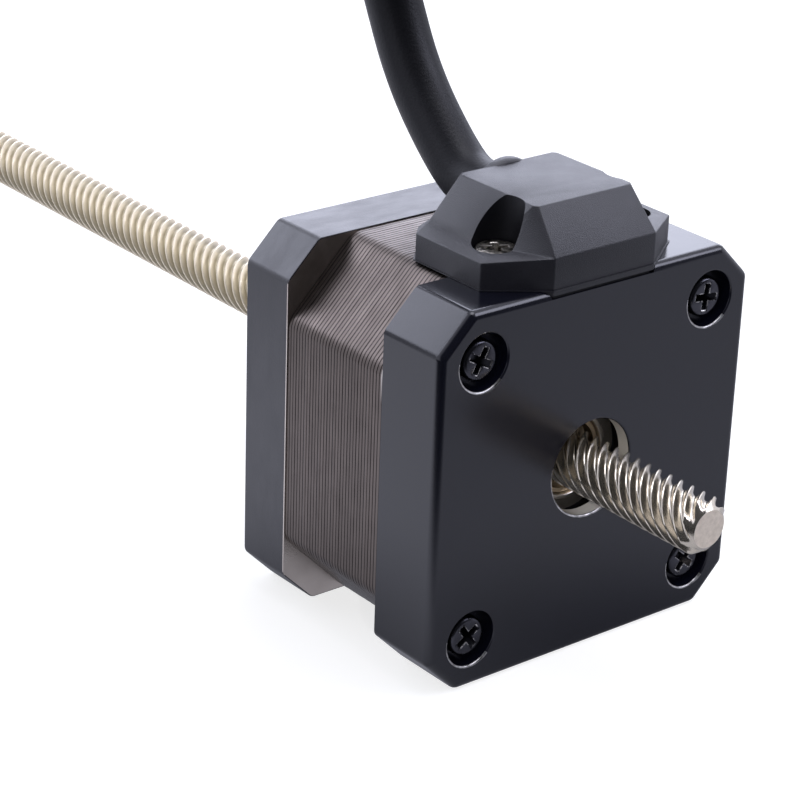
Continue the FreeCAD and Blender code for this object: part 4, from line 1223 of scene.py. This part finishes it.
@dataclass
class ThreadedRod(SubAssembly):
    """Rod with a fast rolled thread of eight starts, a chamfer in the rear and a plain journal in front.

    The crest gives the height of half a rib, from its middle to the groove's, as shares of the full height.
    """

    radius: float = 3.175
    root: float = 2.33
    starts: int = 8
    lead: float = 12.7
    rear: float = -50.0
    thread_end: float = 92.0
    front: float = 100.0
    end_radius: float = 2.05
    end_rim: float = 0.10
    journal_radius: float = 2.2
    journal_chamfer: float = 0.4
    chamfer: float = 1.0
    step: float = 0.42
    tip: float = 1.2
    tip_steps: int = 10
    crest: tuple[float, ...] = (1.0, 0.94, 0.60, 0.25, 0.07, 0.015, 0.0)

    def section(self, bm: Mesh) -> list[Edge]:
        """Draw the thread's cross section as a ring with one lobe for each start.

        Args:
            bm: mesh that takes it.

        Returns:
            Edges of the ring.
        """
        count = 2 * (len(self.crest) - 1)
        turn = Matrix.Translation((0, self.rear * MM, 0)) @ Matrix.Rotation(math.radians(90), 4, "X")
        ring = bmesh.ops.create_circle(bm, segments=self.starts * count, radius=1.0, matrix=turn)["verts"]
        for place, vert in enumerate(ring):
            off = place % count
            height = self.crest[min(off, count - off)]
            radius = (self.root + (self.radius - self.root) * height) * MM
            flat = Vector((vert.co.x, 0.0, vert.co.z)).normalized() * radius
            vert.co = (flat.x, self.rear * MM, flat.z)
        return bm.edges[:]

    def sweep(self, bm: Mesh, ring: list[Edge], length: float, steps: int) -> list[Edge]:
        """Screw a ring of edges along the axis.

        Args:
            bm: mesh that holds the ring.
            ring: edges to sweep.
            length: way along the axis.
            steps: rows of faces.

        Returns:
            Edges of the ring at the far end.
        """
        verts = list({vert for edge in ring for vert in edge.verts})
        grown = bmesh.ops.spin(bm, geom=verts + ring, cent=(0, 0, 0), axis=(0, 1, 0),
                               dvec=(0, length / steps * MM, 0), angle=2 * math.pi * length / self.lead,
                               steps=steps)["geom_last"]
        return picked(grown, Edge)

    def chamfer_ends(self, bm: Mesh) -> None:
        """Turn both ends of the thread down to a cone.

        Args:
            bm: mesh of the bare thread.
        """
        for vert in bm.verts:
            behind, ahead = vert.co.y / MM - self.rear, self.thread_end - vert.co.y / MM
            limit = min(self.end_radius + behind * (self.radius - self.end_radius) / self.chamfer,
                        self.journal_radius + ahead * (self.radius - self.journal_radius) / self.chamfer) * MM
            flat = Vector((vert.co.x, 0.0, vert.co.z))
            if flat.length > limit:
                flat *= limit / flat.length
                vert.co = (flat.x, vert.co.y, flat.z)

    def build(self) -> list[Piece]:
        """Screw the section along the rod, chamfer both thread ends and add the journal.

        Returns:
            The rod.
        """
        bm = bmesh.new()
        first = self.section(bm)
        main = self.thread_end - self.rear - 2 * self.tip
        last = first
        for length, steps in ((self.tip, self.tip_steps), (main, round(main / self.step)),
                              (self.tip, self.tip_steps)):
            last = self.sweep(bm, last, length, steps)
        self.chamfer_ends(bm)
        cap = bmesh.ops.edgeloop_fill(bm, edges=first)["faces"]
        bmesh.ops.inset_region(bm, faces=cap, thickness=self.end_rim * MM, depth=0.0)
        last = grow_ring(bm, last, self.front - self.thread_end - self.journal_chamfer)
        last = grow_ring(bm, last, self.journal_chamfer, 1.0 - self.journal_chamfer / self.journal_radius)
        bmesh.ops.edgeloop_fill(bm, edges=last)
        piece = mesh_object("rod_thread", bm, crease_deg=40.0)
        for face in piece.data.polygons:
            if abs(face.normal.y) > END_FACING and abs(face.center.y / MM - self.rear) < NEAR:
                face.material_index = Slot.SECOND
        return [piece]

    def dress(self, pieces: list[Piece]) -> None:
        """Polish the thread and leave the cut end matt."""
        finish_piece(pieces[0], [ROLLED_STEEL, TURNED_STEEL], Body.ROD, "rod_steel", "lead_screw")


@dataclass
class RotorEnds(SubAssembly):
    """Hollow shaft and nut, whose ends show in the rear bore."""

    shaft_radius: float = 5.0
    shaft_bore: float = 4.4
    front_bore: float = 3.7
    shaft_front: float = -1.4
    shaft_rear: float = -29.1
    shoulder: float = -6.0
    nut_radius: float = 4.39
    nut_mouth: float = 3.8
    nut_rear: float = -28.6
    rod_bore: float = 3.225
    mouth_depth: float = 1.2
    mouth_draft: float = 0.1
    mouth_floor: float = 0.3
    edge: float = 0.15
    crease_deg: float = 25.0

    def build(self) -> list[Piece]:
        """Turn the shaft and the nut.

        Returns:
            Shaft and nut.
        """
        edge, half_edge = self.edge, self.edge * 0.5
        outer, bore, front, rear = self.shaft_radius, self.shaft_bore, self.shaft_front, self.shaft_rear
        shaft = [(self.front_bore, front), (outer - edge, front), (outer, front - edge), (outer, rear + edge),
                 (outer - edge, rear), (bore + half_edge, rear), (bore, rear + half_edge),
                 (bore, self.shoulder), (self.front_bore, self.shoulder)]
        outer, mouth, rear = self.nut_radius, self.nut_mouth, self.nut_rear
        floor = rear + self.mouth_depth
        nut = [(self.rod_bore, self.shoulder), (outer, self.shoulder), (outer, rear + edge),
               (outer - edge, rear), (mouth, rear), (mouth - self.mouth_draft, floor),
               (self.rod_bore, floor + self.mouth_floor)]
        return [mesh_object(name, turned(profile, Sides.LARGE), self.crease_deg)
                for name, profile in (("rotor_shaft", shaft), ("nut_body", nut))]

    def dress(self, pieces: list[Piece]) -> None:
        """Grind the shaft and leave the nut in bronze."""
        finish_piece(pieces[0], [GROUND_STEEL], Body.ROTOR, "shaft_steel", "rotor_sleeve")
        finish_piece(pieces[1], [BRONZE], Body.ROTOR, "nut_bronze", "drive_nut")


@dataclass(frozen=True)
class CoverOutline:
    """One level of the cable cover, in millimetres.

    Attributes:
        nose: half width of the rear end.
        half: half width across the sides.
        corner: length of the slanted rear corners.
        cut: size of the small cuts at the front corners.
        rear: Y of the rear end.
        front: Y of the front wall.
        side_z: height of the sides and the front.
        end_z: height of the rear end.
    """

    nose: float
    half: float
    corner: float
    cut: float
    rear: float
    front: float
    side_z: float
    end_z: float

    def draw(self, bm: Mesh) -> list[Edge]:
        """Add the outline as a ring of eight edges.

        Args:
            bm: mesh that takes it.

        Returns:
            The edges in order.
        """
        right = [(self.nose, self.rear, self.end_z), (self.half, self.rear + self.corner, self.side_z),
                 (self.half, self.front - self.cut, self.side_z),
                 (self.half - self.cut, self.front, self.side_z)]
        left = [(-x, y, z) for x, y, z in reversed(right)]
        spots = [left[-1], *right, *left[:-1]]
        verts = [bm.verts.new(Vector(spot) * MM) for spot in spots]
        return [bm.edges.new((verts[place], verts[(place + 1) % len(verts)])) for place in range(len(verts))]


@dataclass
class CableCover(SubAssembly):
    """Moulded cover over the lead exit: low walls, a sloped hump, two screw wells and a round boss."""

    low: float = 20.65
    over_stack: float = 21.1
    step_at: float = -23.5
    lip_low: float = 21.18
    lip_high: float = 21.28
    lip: float = 0.14
    side_top: float = 24.1
    end_top: float = 24.7
    top: float = 29.0
    rear: float = -32.5
    front: float = -16.4
    nose: float = 6.85
    half: float = 12.9
    corner: float = 4.3
    front_cut: float = 1.5
    front_draft: float = 0.3
    foot: float = 10.2
    foot_corner: float = 6.3
    hair: float = 0.02
    crown: float = 6.6
    crown_inset: float = 3.6
    crown_corner: float = 0.4
    edge: float = 0.26
    fold_deg: float = 10.0
    margin: float = 0.1
    upright: float = 2.0
    blend: float = 0.7
    crease_deg: float = 30.0
    well_radius: float = 2.625
    well_floor: float = 22.2
    well_x: float = 8.8
    well_y: float = -25.8
    well_edge: float = 0.22
    floor_band: float = 0.3
    crown_band: float = 0.5
    boss_radius: float = 4.65
    boss_start: float = 0.4
    boss_lead: float = 0.6
    boss_length: float = 1.9
    boss_rounding: float = 0.35
    collar_at: Point = (0.0, -17.7, 24.8)
    collar_radius: float = 3.8
    collar_length: float = 1.7
    collar_bore: float = 3.15
    collar_play: float = 0.02
    collar_rounding: float = 0.2
    collar_edge: float = 0.12
    collar_pocket: float = 6.0

    def levels(self) -> list[CoverOutline]:
        """List the outlines from the base up to the crown.

        Returns:
            Outlines in order. The foot of the hump lies a hair inside the walls.
        """
        hair, cut = self.hair, self.crown_corner
        wall = (self.nose, self.half, self.corner, self.front_cut, self.rear, self.front)
        return [CoverOutline(*wall, self.low, self.low),
                CoverOutline(*wall, self.side_top, self.end_top - hair),
                CoverOutline(self.nose - 2 * hair, self.foot, self.foot_corner, cut, self.rear + hair,
                             self.front - hair, self.end_top, self.end_top),
                CoverOutline(self.crown - cut, self.crown, cut, cut, self.rear + self.crown_inset,
                             self.front - self.front_draft, self.top, self.top)]

    @staticmethod
    def stacked(levels: Sequence[CoverOutline]) -> Mesh:
        """Bridge outlines from the lowest to the highest into a closed solid.

        Args:
            levels: outlines in order.

        Returns:
            Mesh of the solid.
        """
        bm = bmesh.new()
        rings = [level.draw(bm) for level in levels]
        for lower, upper in zip(rings, rings[1:]):
            bmesh.ops.bridge_loops(bm, edges=lower + upper)
        for ring in (rings[0], rings[-1]):
            bmesh.ops.edgeloop_fill(bm, edges=ring)
        return bm

    def thin_lip(self) -> Mesh:
        """Make the thin plate that stands out around the walls above the seat.

        Returns:
            Mesh of the plate.
        """
        wall = (self.nose + self.lip / 2, self.half + self.lip, self.corner, self.front_cut,
                self.rear - self.lip, self.front + self.lip)
        return self.stacked([CoverOutline(*wall, height, height) for height in (self.lip_low, self.lip_high)])

    def hump(self) -> Mesh:
        """Make the walls and the hump with their roundings.

        Returns:
            Mesh of the closed shape.
        """
        bm = self.stacked(self.levels())
        bmesh.ops.remove_doubles(bm, verts=bm.verts[:], dist=3 * self.hair * MM)
        bmesh.ops.dissolve_degenerate(bm, edges=bm.edges[:], dist=SHORT)
        bmesh.ops.recalc_face_normals(bm, faces=bm.faces[:])
        folds = [edge for edge in bm.edges
                 if all(abs(abs(vert.co.x) / MM - self.foot) < NEAR
                        and vert.co.z > (self.side_top + self.margin) * MM
                        for vert in edge.verts)]
        bevel(bm, folds, self.blend, segments=8)
        edges = [edge for edge in bm.edges if edge.calc_face_angle(0.0) > math.radians(self.fold_deg)
                 and min(vert.co.z for vert in edge.verts) > (self.side_top - 2 * self.margin) * MM
                 or abs(edge.verts[0].co.z - edge.verts[1].co.z) > self.upright * MM]
        bevel(bm, edges, self.edge, segments=4, clamp=True)
        return bm

    def build(self) -> list[Piece]:
        """Mould the shell, sink its wells, add its boss, and make the collar.

        Returns:
            Cover and collar.
        """
        piece = mesh_object("cover_moulding", self.hump(), self.crease_deg)
        boss = self.stub(self.boss_radius, self.boss_start, self.boss_length, self.boss_rounding,
                         self.boss_lead)
        carve(piece, boss, Carve.JOIN)
        carve(piece, self.thin_lip(), Carve.JOIN)
        tool = bmesh.new()
        wide = self.half + PAST
        block(tool, (-wide, self.step_at, self.low - PAST), (wide, self.front + 2 * PAST, self.over_stack))
        carve(piece, tool)
        tool = bmesh.new()
        for side in (-1, 1):
            drum(tool, (side * self.well_x, self.well_y, 0), self.well_radius, self.well_floor,
                 self.top + PAST, "Z", Sides.WELL)
        carve(piece, tool)
        carve(piece, self.stub(self.collar_radius, 0.0, self.collar_pocket))
        ease(piece, self.on_well, self.well_edge, sharp_deg=15.0)
        # Well walls and floors below the crown take the second slot: deep black, painted shade in the wells
        for face in piece.data.polygons:
            spot = face.center / MM
            if self.off_well(spot) < self.well_radius + 2 * NEAR and spot.z < self.top - self.crown_band:
                face.material_index = Slot.SECOND
        shade(piece, self.crease_deg)
        return [piece, self.collar()]

    def stub(self, radius: float, start: float, end: float, rounding: float = 0.0, lead: float = 0.0) -> Mesh:
        """Make a cylinder around the cable where it leaves the front wall.

        Args:
            radius: radius of the cylinder.
            start: its near end along the cable, from the collar's inner end.
            end: its far end.
            rounding: rounding of the far rim.
            lead: chamfer of the near rim.

        Returns:
            Mesh of the cylinder.
        """
        across, along, up = self.collar_at
        bm = bmesh.new()
        drum(bm, (across, 0.0, up), radius, along + start, along + end, segments=Sides.LARGE)
        for at, width, segments in ((along + end, rounding, 4), (along + start, lead, 3)):
            if width > 0:
                bevel(bm, edges_at(bm, at), width, segments)
        return bm

    def off_well(self, spot: Vector) -> float:
        """Give a point's distance from the axis of the nearer screw well."""
        return math.hypot(abs(spot.x) - self.well_x, spot.y - self.well_y)

    def on_well(self, spot: Vector) -> bool:
        """Tell whether a point lies on the upper rim of a screw well."""
        above = spot.z > self.well_floor + self.floor_band
        return above and abs(self.off_well(spot) - self.well_radius) < ON_RIM

    def collar(self) -> Piece:
        """Turn the rubber collar and cut it flat above the stack.

        Returns:
            The collar.
        """
        outer, inner, length = self.collar_radius - self.collar_play, self.collar_bore, self.collar_length
        wide, middle, thin = self.collar_rounding, self.collar_rounding * ARC_MIDDLE, self.collar_edge
        bm = turned([(inner, 0.0), (outer, 0.0), (outer, length - wide), (outer - middle, length - middle),
                     (outer - wide, length), (inner + thin, length), (inner, length - thin)])
        bmesh.ops.translate(bm, verts=bm.verts[:], vec=Vector(self.collar_at) * MM)
        level = Vector((0.0, 0.0, self.over_stack * MM))
        cut = bmesh.ops.bisect_plane(bm, geom=bm.verts[:] + bm.edges[:] + bm.faces[:], plane_co=level,
                                     plane_no=(0, 0, 1), clear_inner=True)["geom_cut"]
        bmesh.ops.holes_fill(bm, edges=picked(cut, Edge), sides=0)
        return mesh_object("collar_rubber", bm, self.crease_deg)

    def dress(self, pieces: list[Piece]) -> None:
        """Give the cover its moulded grain, with painted shade on the wells' walls, and the collar its
        rubber.
        """
        finish_piece(pieces[0], [MOULDED, WELL_SHADE_NYLON], Body.HOUSING, "cover_plastic", "cable_cover")
        finish_piece(pieces[1], [RUBBER], Body.HOUSING, "cable_rubber", "cable_gland")


@dataclass
class MotorCable(SubAssembly):
    """Jacketed cable that leaves the cover, arches over and lies down, and the connector on its end.

    The route and the length are in metres. The connector's chains hold radius and distance from the cable's
    end, and the points of a groove count from where it starts.
    """

    radius: float = 3.1
    length: float = 0.275
    steps_along: int = 14
    steps_around: int = 10
    route: tuple[Point, ...] = (
        (0.0, -0.017, 0.0248), (0.0, -0.0119, 0.0248), (0.0, -0.0077, 0.0272), (0.0, -0.0009, 0.034),
        (0.0, 0.0035, 0.0424), (-0.0015, 0.006, 0.0525), (-0.006, 0.0085, 0.062), (-0.013, 0.011, 0.07),
        (-0.022, 0.0135, 0.0755), (-0.0325, 0.016, 0.078), (-0.043, 0.0185, 0.077), (-0.053, 0.021, 0.0725),
        (-0.0615, 0.023, 0.0655), (-0.0685, 0.025, 0.0555), (-0.074, 0.027, 0.04), (-0.077, 0.03, 0.022),
        (-0.0785, 0.0365, 0.0055), (-0.079, 0.046, -0.007), (-0.079, 0.0575, -0.015),
        (-0.0775, 0.0705, -0.018), (-0.072, 0.082, -0.018), (-0.062, 0.0905, -0.0176),
        (-0.0495, 0.0945, -0.01615), (-0.0365, 0.096, -0.01615))
    neck: Profile = ((0.0, 0.0), (3.4, 0.0), (3.6, 0.3), (4.4, 5.0), (4.9, 7.6), (5.0, 8.4))
    groove: Profile = ((5.0, 0.0), (4.6, 0.35), (4.6, 0.85), (5.0, 1.2))
    grooves: int = 5
    groove_start: float = 9.4
    groove_pitch: float = 2.2
    nose: Profile = ((5.0, 21.4), (4.6, 22.0), (0.0, 22.0))
    shell: Profile = ((3.4, 22.0), (4.2, 22.0), (4.2, 24.0), (4.05, 24.2), (4.05, 24.8), (4.2, 25.0),
                      (4.2, 31.7), (3.9, 32.0), (3.6, 32.0), (3.4, 31.8))

    def build(self) -> list[Piece]:
        """Lay the cable along its route as one smooth spline, and add its connector.

        Returns:
            Cable, grip and shell.
        """
        curve = bpy.data.curves.new("cable_jacket", "CURVE")
        curve.dimensions = "3D"
        spline = curve.splines.new("NURBS")
        spline.points.add(len(self.route) - 1)
        for point, spot in zip(spline.points, self.route):
            point.co = (*spot, 1.0)
        spline.order_u = 3
        spline.use_endpoint_u = True
        spline.resolution_u = self.steps_along
        curve.bevel_depth = self.radius * MM
        curve.bevel_resolution = self.steps_around
        curve.use_fill_caps = True
        return [linked("cable_jacket", curve), *self.connector()]

    def connector(self) -> list[Piece]:
        """Mould the connector's body with finger grooves, and turn its shell.

        Returns:
            Grip and shell.
        """
        grip = list(self.neck)
        for number in range(self.grooves):
            near = self.groove_start + number * self.groove_pitch
            grip += [(radius, near + along) for radius, along in self.groove]
        grip += self.nose
        end, before = Vector(self.route[-1]), Vector(self.route[-2])
        turn = (end - before).to_track_quat("Y", "Z").to_matrix().to_4x4()
        pieces = []
        for name, profile in (("plug_grip", grip), ("plug_ring", self.shell)):
            bm = turned(profile, Sides.SCREW)
            bmesh.ops.transform(bm, matrix=Matrix.Translation(end) @ turn, verts=bm.verts[:])
            pieces.append(mesh_object(name, bm))
        return pieces

    def dress(self, pieces: list[Piece]) -> None:
        """Args:
            pieces: cable, grip and shell.
        """
        cable, grip, ring = pieces
        finish_piece(cable, [JACKET], Body.HOUSING, "cable_rubber", "motor_cable")
        finish_piece(grip, [PLUG_PVC], Body.HOUSING, "plug_plastic", "plug_body")
        finish_piece(ring, [NICKEL], Body.HOUSING, "bright_screw_steel", "plug_shell")


@dataclass
class Fasteners(SubAssembly):
    """Four screws of the case and two of the cable cover, each with its recess turned its own way."""

    frame: Frame
    rear: RearCover
    cap: CableCover
    case_screw: CrossScrew = CrossScrew(2.2, 2.25, 1.5, 25.0, 0.85, 3.5, 1.4)
    case_turns: tuple[float, ...] = (56.0, 28.0, 40.0, 7.0)
    cap_screw: CrossScrew = CrossScrew(2.3, 2.1, 1.25, 5.2, 0.8, 3.0, 1.2)
    cap_turns: tuple[float, ...] = (25.0, 10.0)

    def build(self) -> list[Piece]:
        """Drive the screws home in their counterbores and wells.

        Returns:
            Screws of the case and screws of the cable cover.
        """
        seat = self.rear.counterbore_depth - self.frame.rear
        bolts = [(Matrix.Translation((x * MM, seat * MM, z * MM)), turn)
                 for (x, z), turn in zip(self.frame.bolts(), self.case_turns)]
        upright = Matrix.Rotation(math.radians(-90), 4, "X")
        across, along, floor = self.cap.well_x * MM, self.cap.well_y * MM, self.cap.well_floor * MM
        wells = [(Matrix.Translation((side * across, along, floor)) @ upright, turn)
                 for side, turn in zip((-1, 1), self.cap_turns)]
        return [self.case_screw.group("case_screws", bolts), self.cap_screw.group("cap_screws", wells)]

    def dress(self, pieces: list[Piece]) -> None:
        """Blacken the screws of the case, and plate those of the cable cover, their heads darkened as painted
        shade in the wells.
        """
        finish_piece(pieces[0], [BLACK_OXIDE, WORN_OXIDE], Body.HOUSING, "black_screw_steel", "body_screws")
        finish_piece(pieces[1], [SHADED_NICKEL, NICKEL], Body.HOUSING, "bright_screw_steel", "cover_screws")


def hang(name: str, data: bpy.types.Light, at: Point, aim: Point) -> Piece:
    """Hang a lamp so that it faces a point.

    Args:
        name: lamp name.
        data: what the lamp gives.
        at: place in metres.
        aim: point that it faces.

    Returns:
        The lamp.
    """
    made = linked(name, data)
    turn = (Vector(aim) - Vector(at)).to_track_quat("-Z", "Y").to_matrix().to_4x4()
    made.matrix_world = Matrix.Translation(at) @ turn
    return made


@dataclass(frozen=True)
class SoftBox:
    """Soft box that faces the motor.

    Attributes:
        name: lamp name.
        at: place in metres.
        size: width and height in metres.
        radiance: brightness of its face, where 1 is white.
        colour: light colour.
        aim: point that it faces.
    """

    name: str
    at: Point
    size: tuple[float, float]
    radiance: float
    colour: str
    aim: Point = (0.0, -0.015, 0.0)

    def build(self) -> None:
        """Hang the box."""
        data = bpy.data.lights.new(self.name, "AREA")
        data.shape = "RECTANGLE"
        data.size, data.size_y = self.size
        data.energy = self.radiance * math.pi * self.size[0] * self.size[1]
        data.color = linear(self.colour)[:3]
        hang(self.name, data, self.at, self.aim)


@dataclass(frozen=True)
class Snoot:
    """Narrow lamp that reaches into the bore and isn't mirrored.

    Attributes:
        name: lamp name.
        at: place in metres.
        aim: point that it lights.
        angle_deg: opening of its beam.
        watts: power.
        blend: soft share of the beam.
        radius: radius of the lamp in metres.
    """

    name: str
    at: Point
    aim: Point
    angle_deg: float
    watts: float
    blend: float = 0.6
    radius: float = 0.03

    def build(self) -> None:
        """Hang the lamp."""
        data = bpy.data.lights.new(self.name, "SPOT")
        data.spot_size = math.radians(self.angle_deg)
        data.spot_blend = self.blend
        data.shadow_soft_size = self.radius
        data.energy = self.watts
        hang(self.name, data, self.at, self.aim).visible_glossy = False


@dataclass
class Studio:
    """White table, soft lamps and the camera of the photograph, in metres.

    The ramps dim what is mirrored of the table and the tent: side is along to_left, under is around the
    motor's middle, and front is along to_camera.
    """

    floor_z: float = -0.02115
    table_half: float = 3.0
    camera_at: Point = (-0.17634, -0.21671, 0.11881)
    right: Point = (0.7837, -0.6202, 0.0332)
    down: Point = (-0.2265, -0.3350, -0.9146)
    ahead: Point = (0.5784, 0.7093, -0.4030)
    lens: float = 120.9
    sensor: float = 36.0
    clip_start: float = 0.01
    paper: str = "#b4b4b4"
    paper_glow: float = 0.74
    tint: str = "#eceeff"
    to_left: Point = (-0.6, 0.8, 0.0)
    side: Ramp = Ramp(-0.035, 0.005, 0.60, 1.12)
    from_middle: Point = (0.0, 0.0126, 0.0)
    under: Ramp = Ramp(0.018, 0.050, 0.34, 1.0)
    to_camera: Point = (-0.63, -0.77, 0.0)
    front: Ramp = Ramp(0.055, 0.095, 1.0, 0.05)
    tent: str = "#e8ebf2"
    tent_level: float = 0.45
    to_opening: Point = (-0.15, -0.92, 0.36)
    opening: Ramp = Ramp(0.30, 0.70, 1.0, 0.05)
    lamps: tuple[SoftBox | Snoot, ...] = (
        SoftBox("back_box", (0.62, 0.61, 0.42), (0.85, 0.60), 3.1, "#e8ecff"),
        SoftBox("left_back_box", (-0.42, 0.72, 0.58), (0.80, 0.60), 2.50, "#e8ecff"),
        SoftBox("right_box", (0.55, -0.50, 0.62), (0.45, 0.42), 4.4, "#e8eaff"),
        Snoot("bore_snoot", (-0.45, -0.75, 0.35), (0.001, -0.031, 0.0), 2.0, 50.0),
        SoftBox("top_box", (0.12, -0.12, 0.95), (0.55, 0.55), 3.2, "#f2f3ff"))

    def camera(self) -> None:
        """Place the camera where the photograph was taken."""
        data = bpy.data.cameras.new("photograph")
        data.lens = self.lens
        data.sensor_width = self.sensor
        data.clip_start = self.clip_start
        made = linked("photograph", data)
        axes = Matrix((self.right, -Vector(self.down), -Vector(self.ahead))).transposed()
        made.matrix_world = Matrix.Translation(self.camera_at) @ axes.to_4x4()
        bpy.context.scene.camera = made

    def mirrored_level(self, tree: Tree) -> Node:
        """Add the table's brightness in reflections: dim in front and under the motor, bright on the left.

        Args:
            tree: node tree of the table's material.

        Returns:
            Node with the strength of the table's light.
        """
        place = add_node(tree, "TexCoord").outputs["Object"]
        left = add_node(tree, "VectorMath", {0: place, 1: self.to_left}, operation="DOT_PRODUCT")
        moved = add_node(tree, "VectorMath", {0: place, 1: self.from_middle}, operation="ADD")
        flat = add_node(tree, "VectorMath", {0: moved, 1: (1.0, 1.0, 0.0)}, operation="MULTIPLY")
        out = add_node(tree, "VectorMath", {0: flat}, operation="LENGTH")
        near = add_node(tree, "VectorMath", {0: place, 1: self.to_camera}, operation="DOT_PRODUCT")
        side, under, front = [
            add_node(tree, "MapRange", ramp.inputs(node.outputs["Value"]), interpolation_type="SMOOTHSTEP")
            for ramp, node in ((self.side, left), (self.under, out), (self.front, near))]
        open_floor = add_node(tree, "Math", {0: side, 1: under}, operation="MULTIPLY")
        return add_node(tree, "Math", {0: open_floor, 1: front}, operation="MULTIPLY")

    def table(self) -> None:
        """Lay the white table, which stays white to the eye and keeps a soft shadow."""
        bm = bmesh.new()
        bmesh.ops.create_grid(bm, x_segments=1, y_segments=1, size=self.table_half,
                              matrix=Matrix.Translation((0, 0, self.floor_z)))
        floor = mesh_object("table", bm)
        made = bpy.data.materials.new("white_table_paper")
        tree = empty_tree(made)
        paper = add_node(tree, "BsdfDiffuse", {"Color": linear(self.paper)})
        white = add_node(tree, "Emission", {"Color": (1, 1, 1, 1), "Strength": self.paper_glow})
        mirrored = add_node(tree, "Emission", {
            "Strength": self.mirrored_level(tree), "Color": linear(self.tint)})
        path = add_node(tree, "LightPath")
        bright = add_node(tree, "AddShader", {0: paper, 1: white})
        seen = add_node(tree, "MixShader", {0: path.outputs["Is Camera Ray"], 1: paper, 2: bright})
        mixed = add_node(tree, "MixShader", {0: path.outputs["Is Glossy Ray"], 1: seen, 2: mirrored})
        add_node(tree, "OutputMaterial", {"Surface": mixed})
        floor.data.materials.append(made)

    def world(self) -> None:
        """Surround the motor with a white tent that has a dark opening on the camera's side."""
        world = bpy.data.worlds.new("white_tent")
        bpy.context.scene.world = world
        tree = empty_tree(world)
        dim = add_node(tree, "Background", {"Color": linear(self.tent), "Strength": self.tent_level})
        white = add_node(tree, "Background", {"Color": (1, 1, 1, 1), "Strength": 1.0})
        look = add_node(tree, "TexCoord").outputs["Generated"]
        facing = add_node(tree, "VectorMath", {0: look, 1: self.to_opening}, operation="DOT_PRODUCT")
        cloth = add_node(tree, "MapRange", self.opening.inputs(facing.outputs["Value"]),
                         interpolation_type="SMOOTHSTEP")
        mirrored = add_node(tree, "Background", {"Strength": cloth, "Color": linear(self.tint)})
        path = add_node(tree, "LightPath")
        shown = add_node(tree, "Math", {
            0: path.outputs["Is Camera Ray"], 1: path.outputs["Is Transmission Ray"]}, operation="MAXIMUM")
        dull = add_node(tree, "MixShader", {0: path.outputs["Is Glossy Ray"], 1: dim, 2: mirrored})
        mixed = add_node(tree, "MixShader", {0: shown, 1: dull, 2: white})
        add_node(tree, "OutputWorld", {"Surface": mixed})

    def build(self) -> None:
        """Set the camera, the table, the world and the lamps."""
        bpy.context.scene.view_settings.view_transform = "Standard"
        self.camera()
        self.table()
        self.world()
        for lamp in self.lamps:
            lamp.build()


def dress_inner_nodes() -> None:
    """Give every solid that stays its own finish."""
    for node, finish in NODE_FINISHES.items():
        piece = bpy.data.objects[node]
        piece.data.materials.clear()
        piece.data.materials.append(finish.material())
        LOG.info("%s keeps its solid in %s", node, finish.name)


def main() -> None:
    """Build the studio and every piece of the motor."""
    logging.basicConfig(level=logging.INFO, format="%(message)s")
    Studio().build()
    shape = Frame()
    rear, cap = RearCover(shape), CableCover()
    parts: list[SubAssembly] = [MotorCable(), FrontFlange(shape), LaminationStack(shape), rear, ThreadedRod(),
                                RotorEnds(), cap, Fasteners(shape, rear, cap)]
    for part in parts:
        part.dress(part.build())
    dress_inner_nodes()
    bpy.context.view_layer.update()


if __name__ == "__main__":
    main()
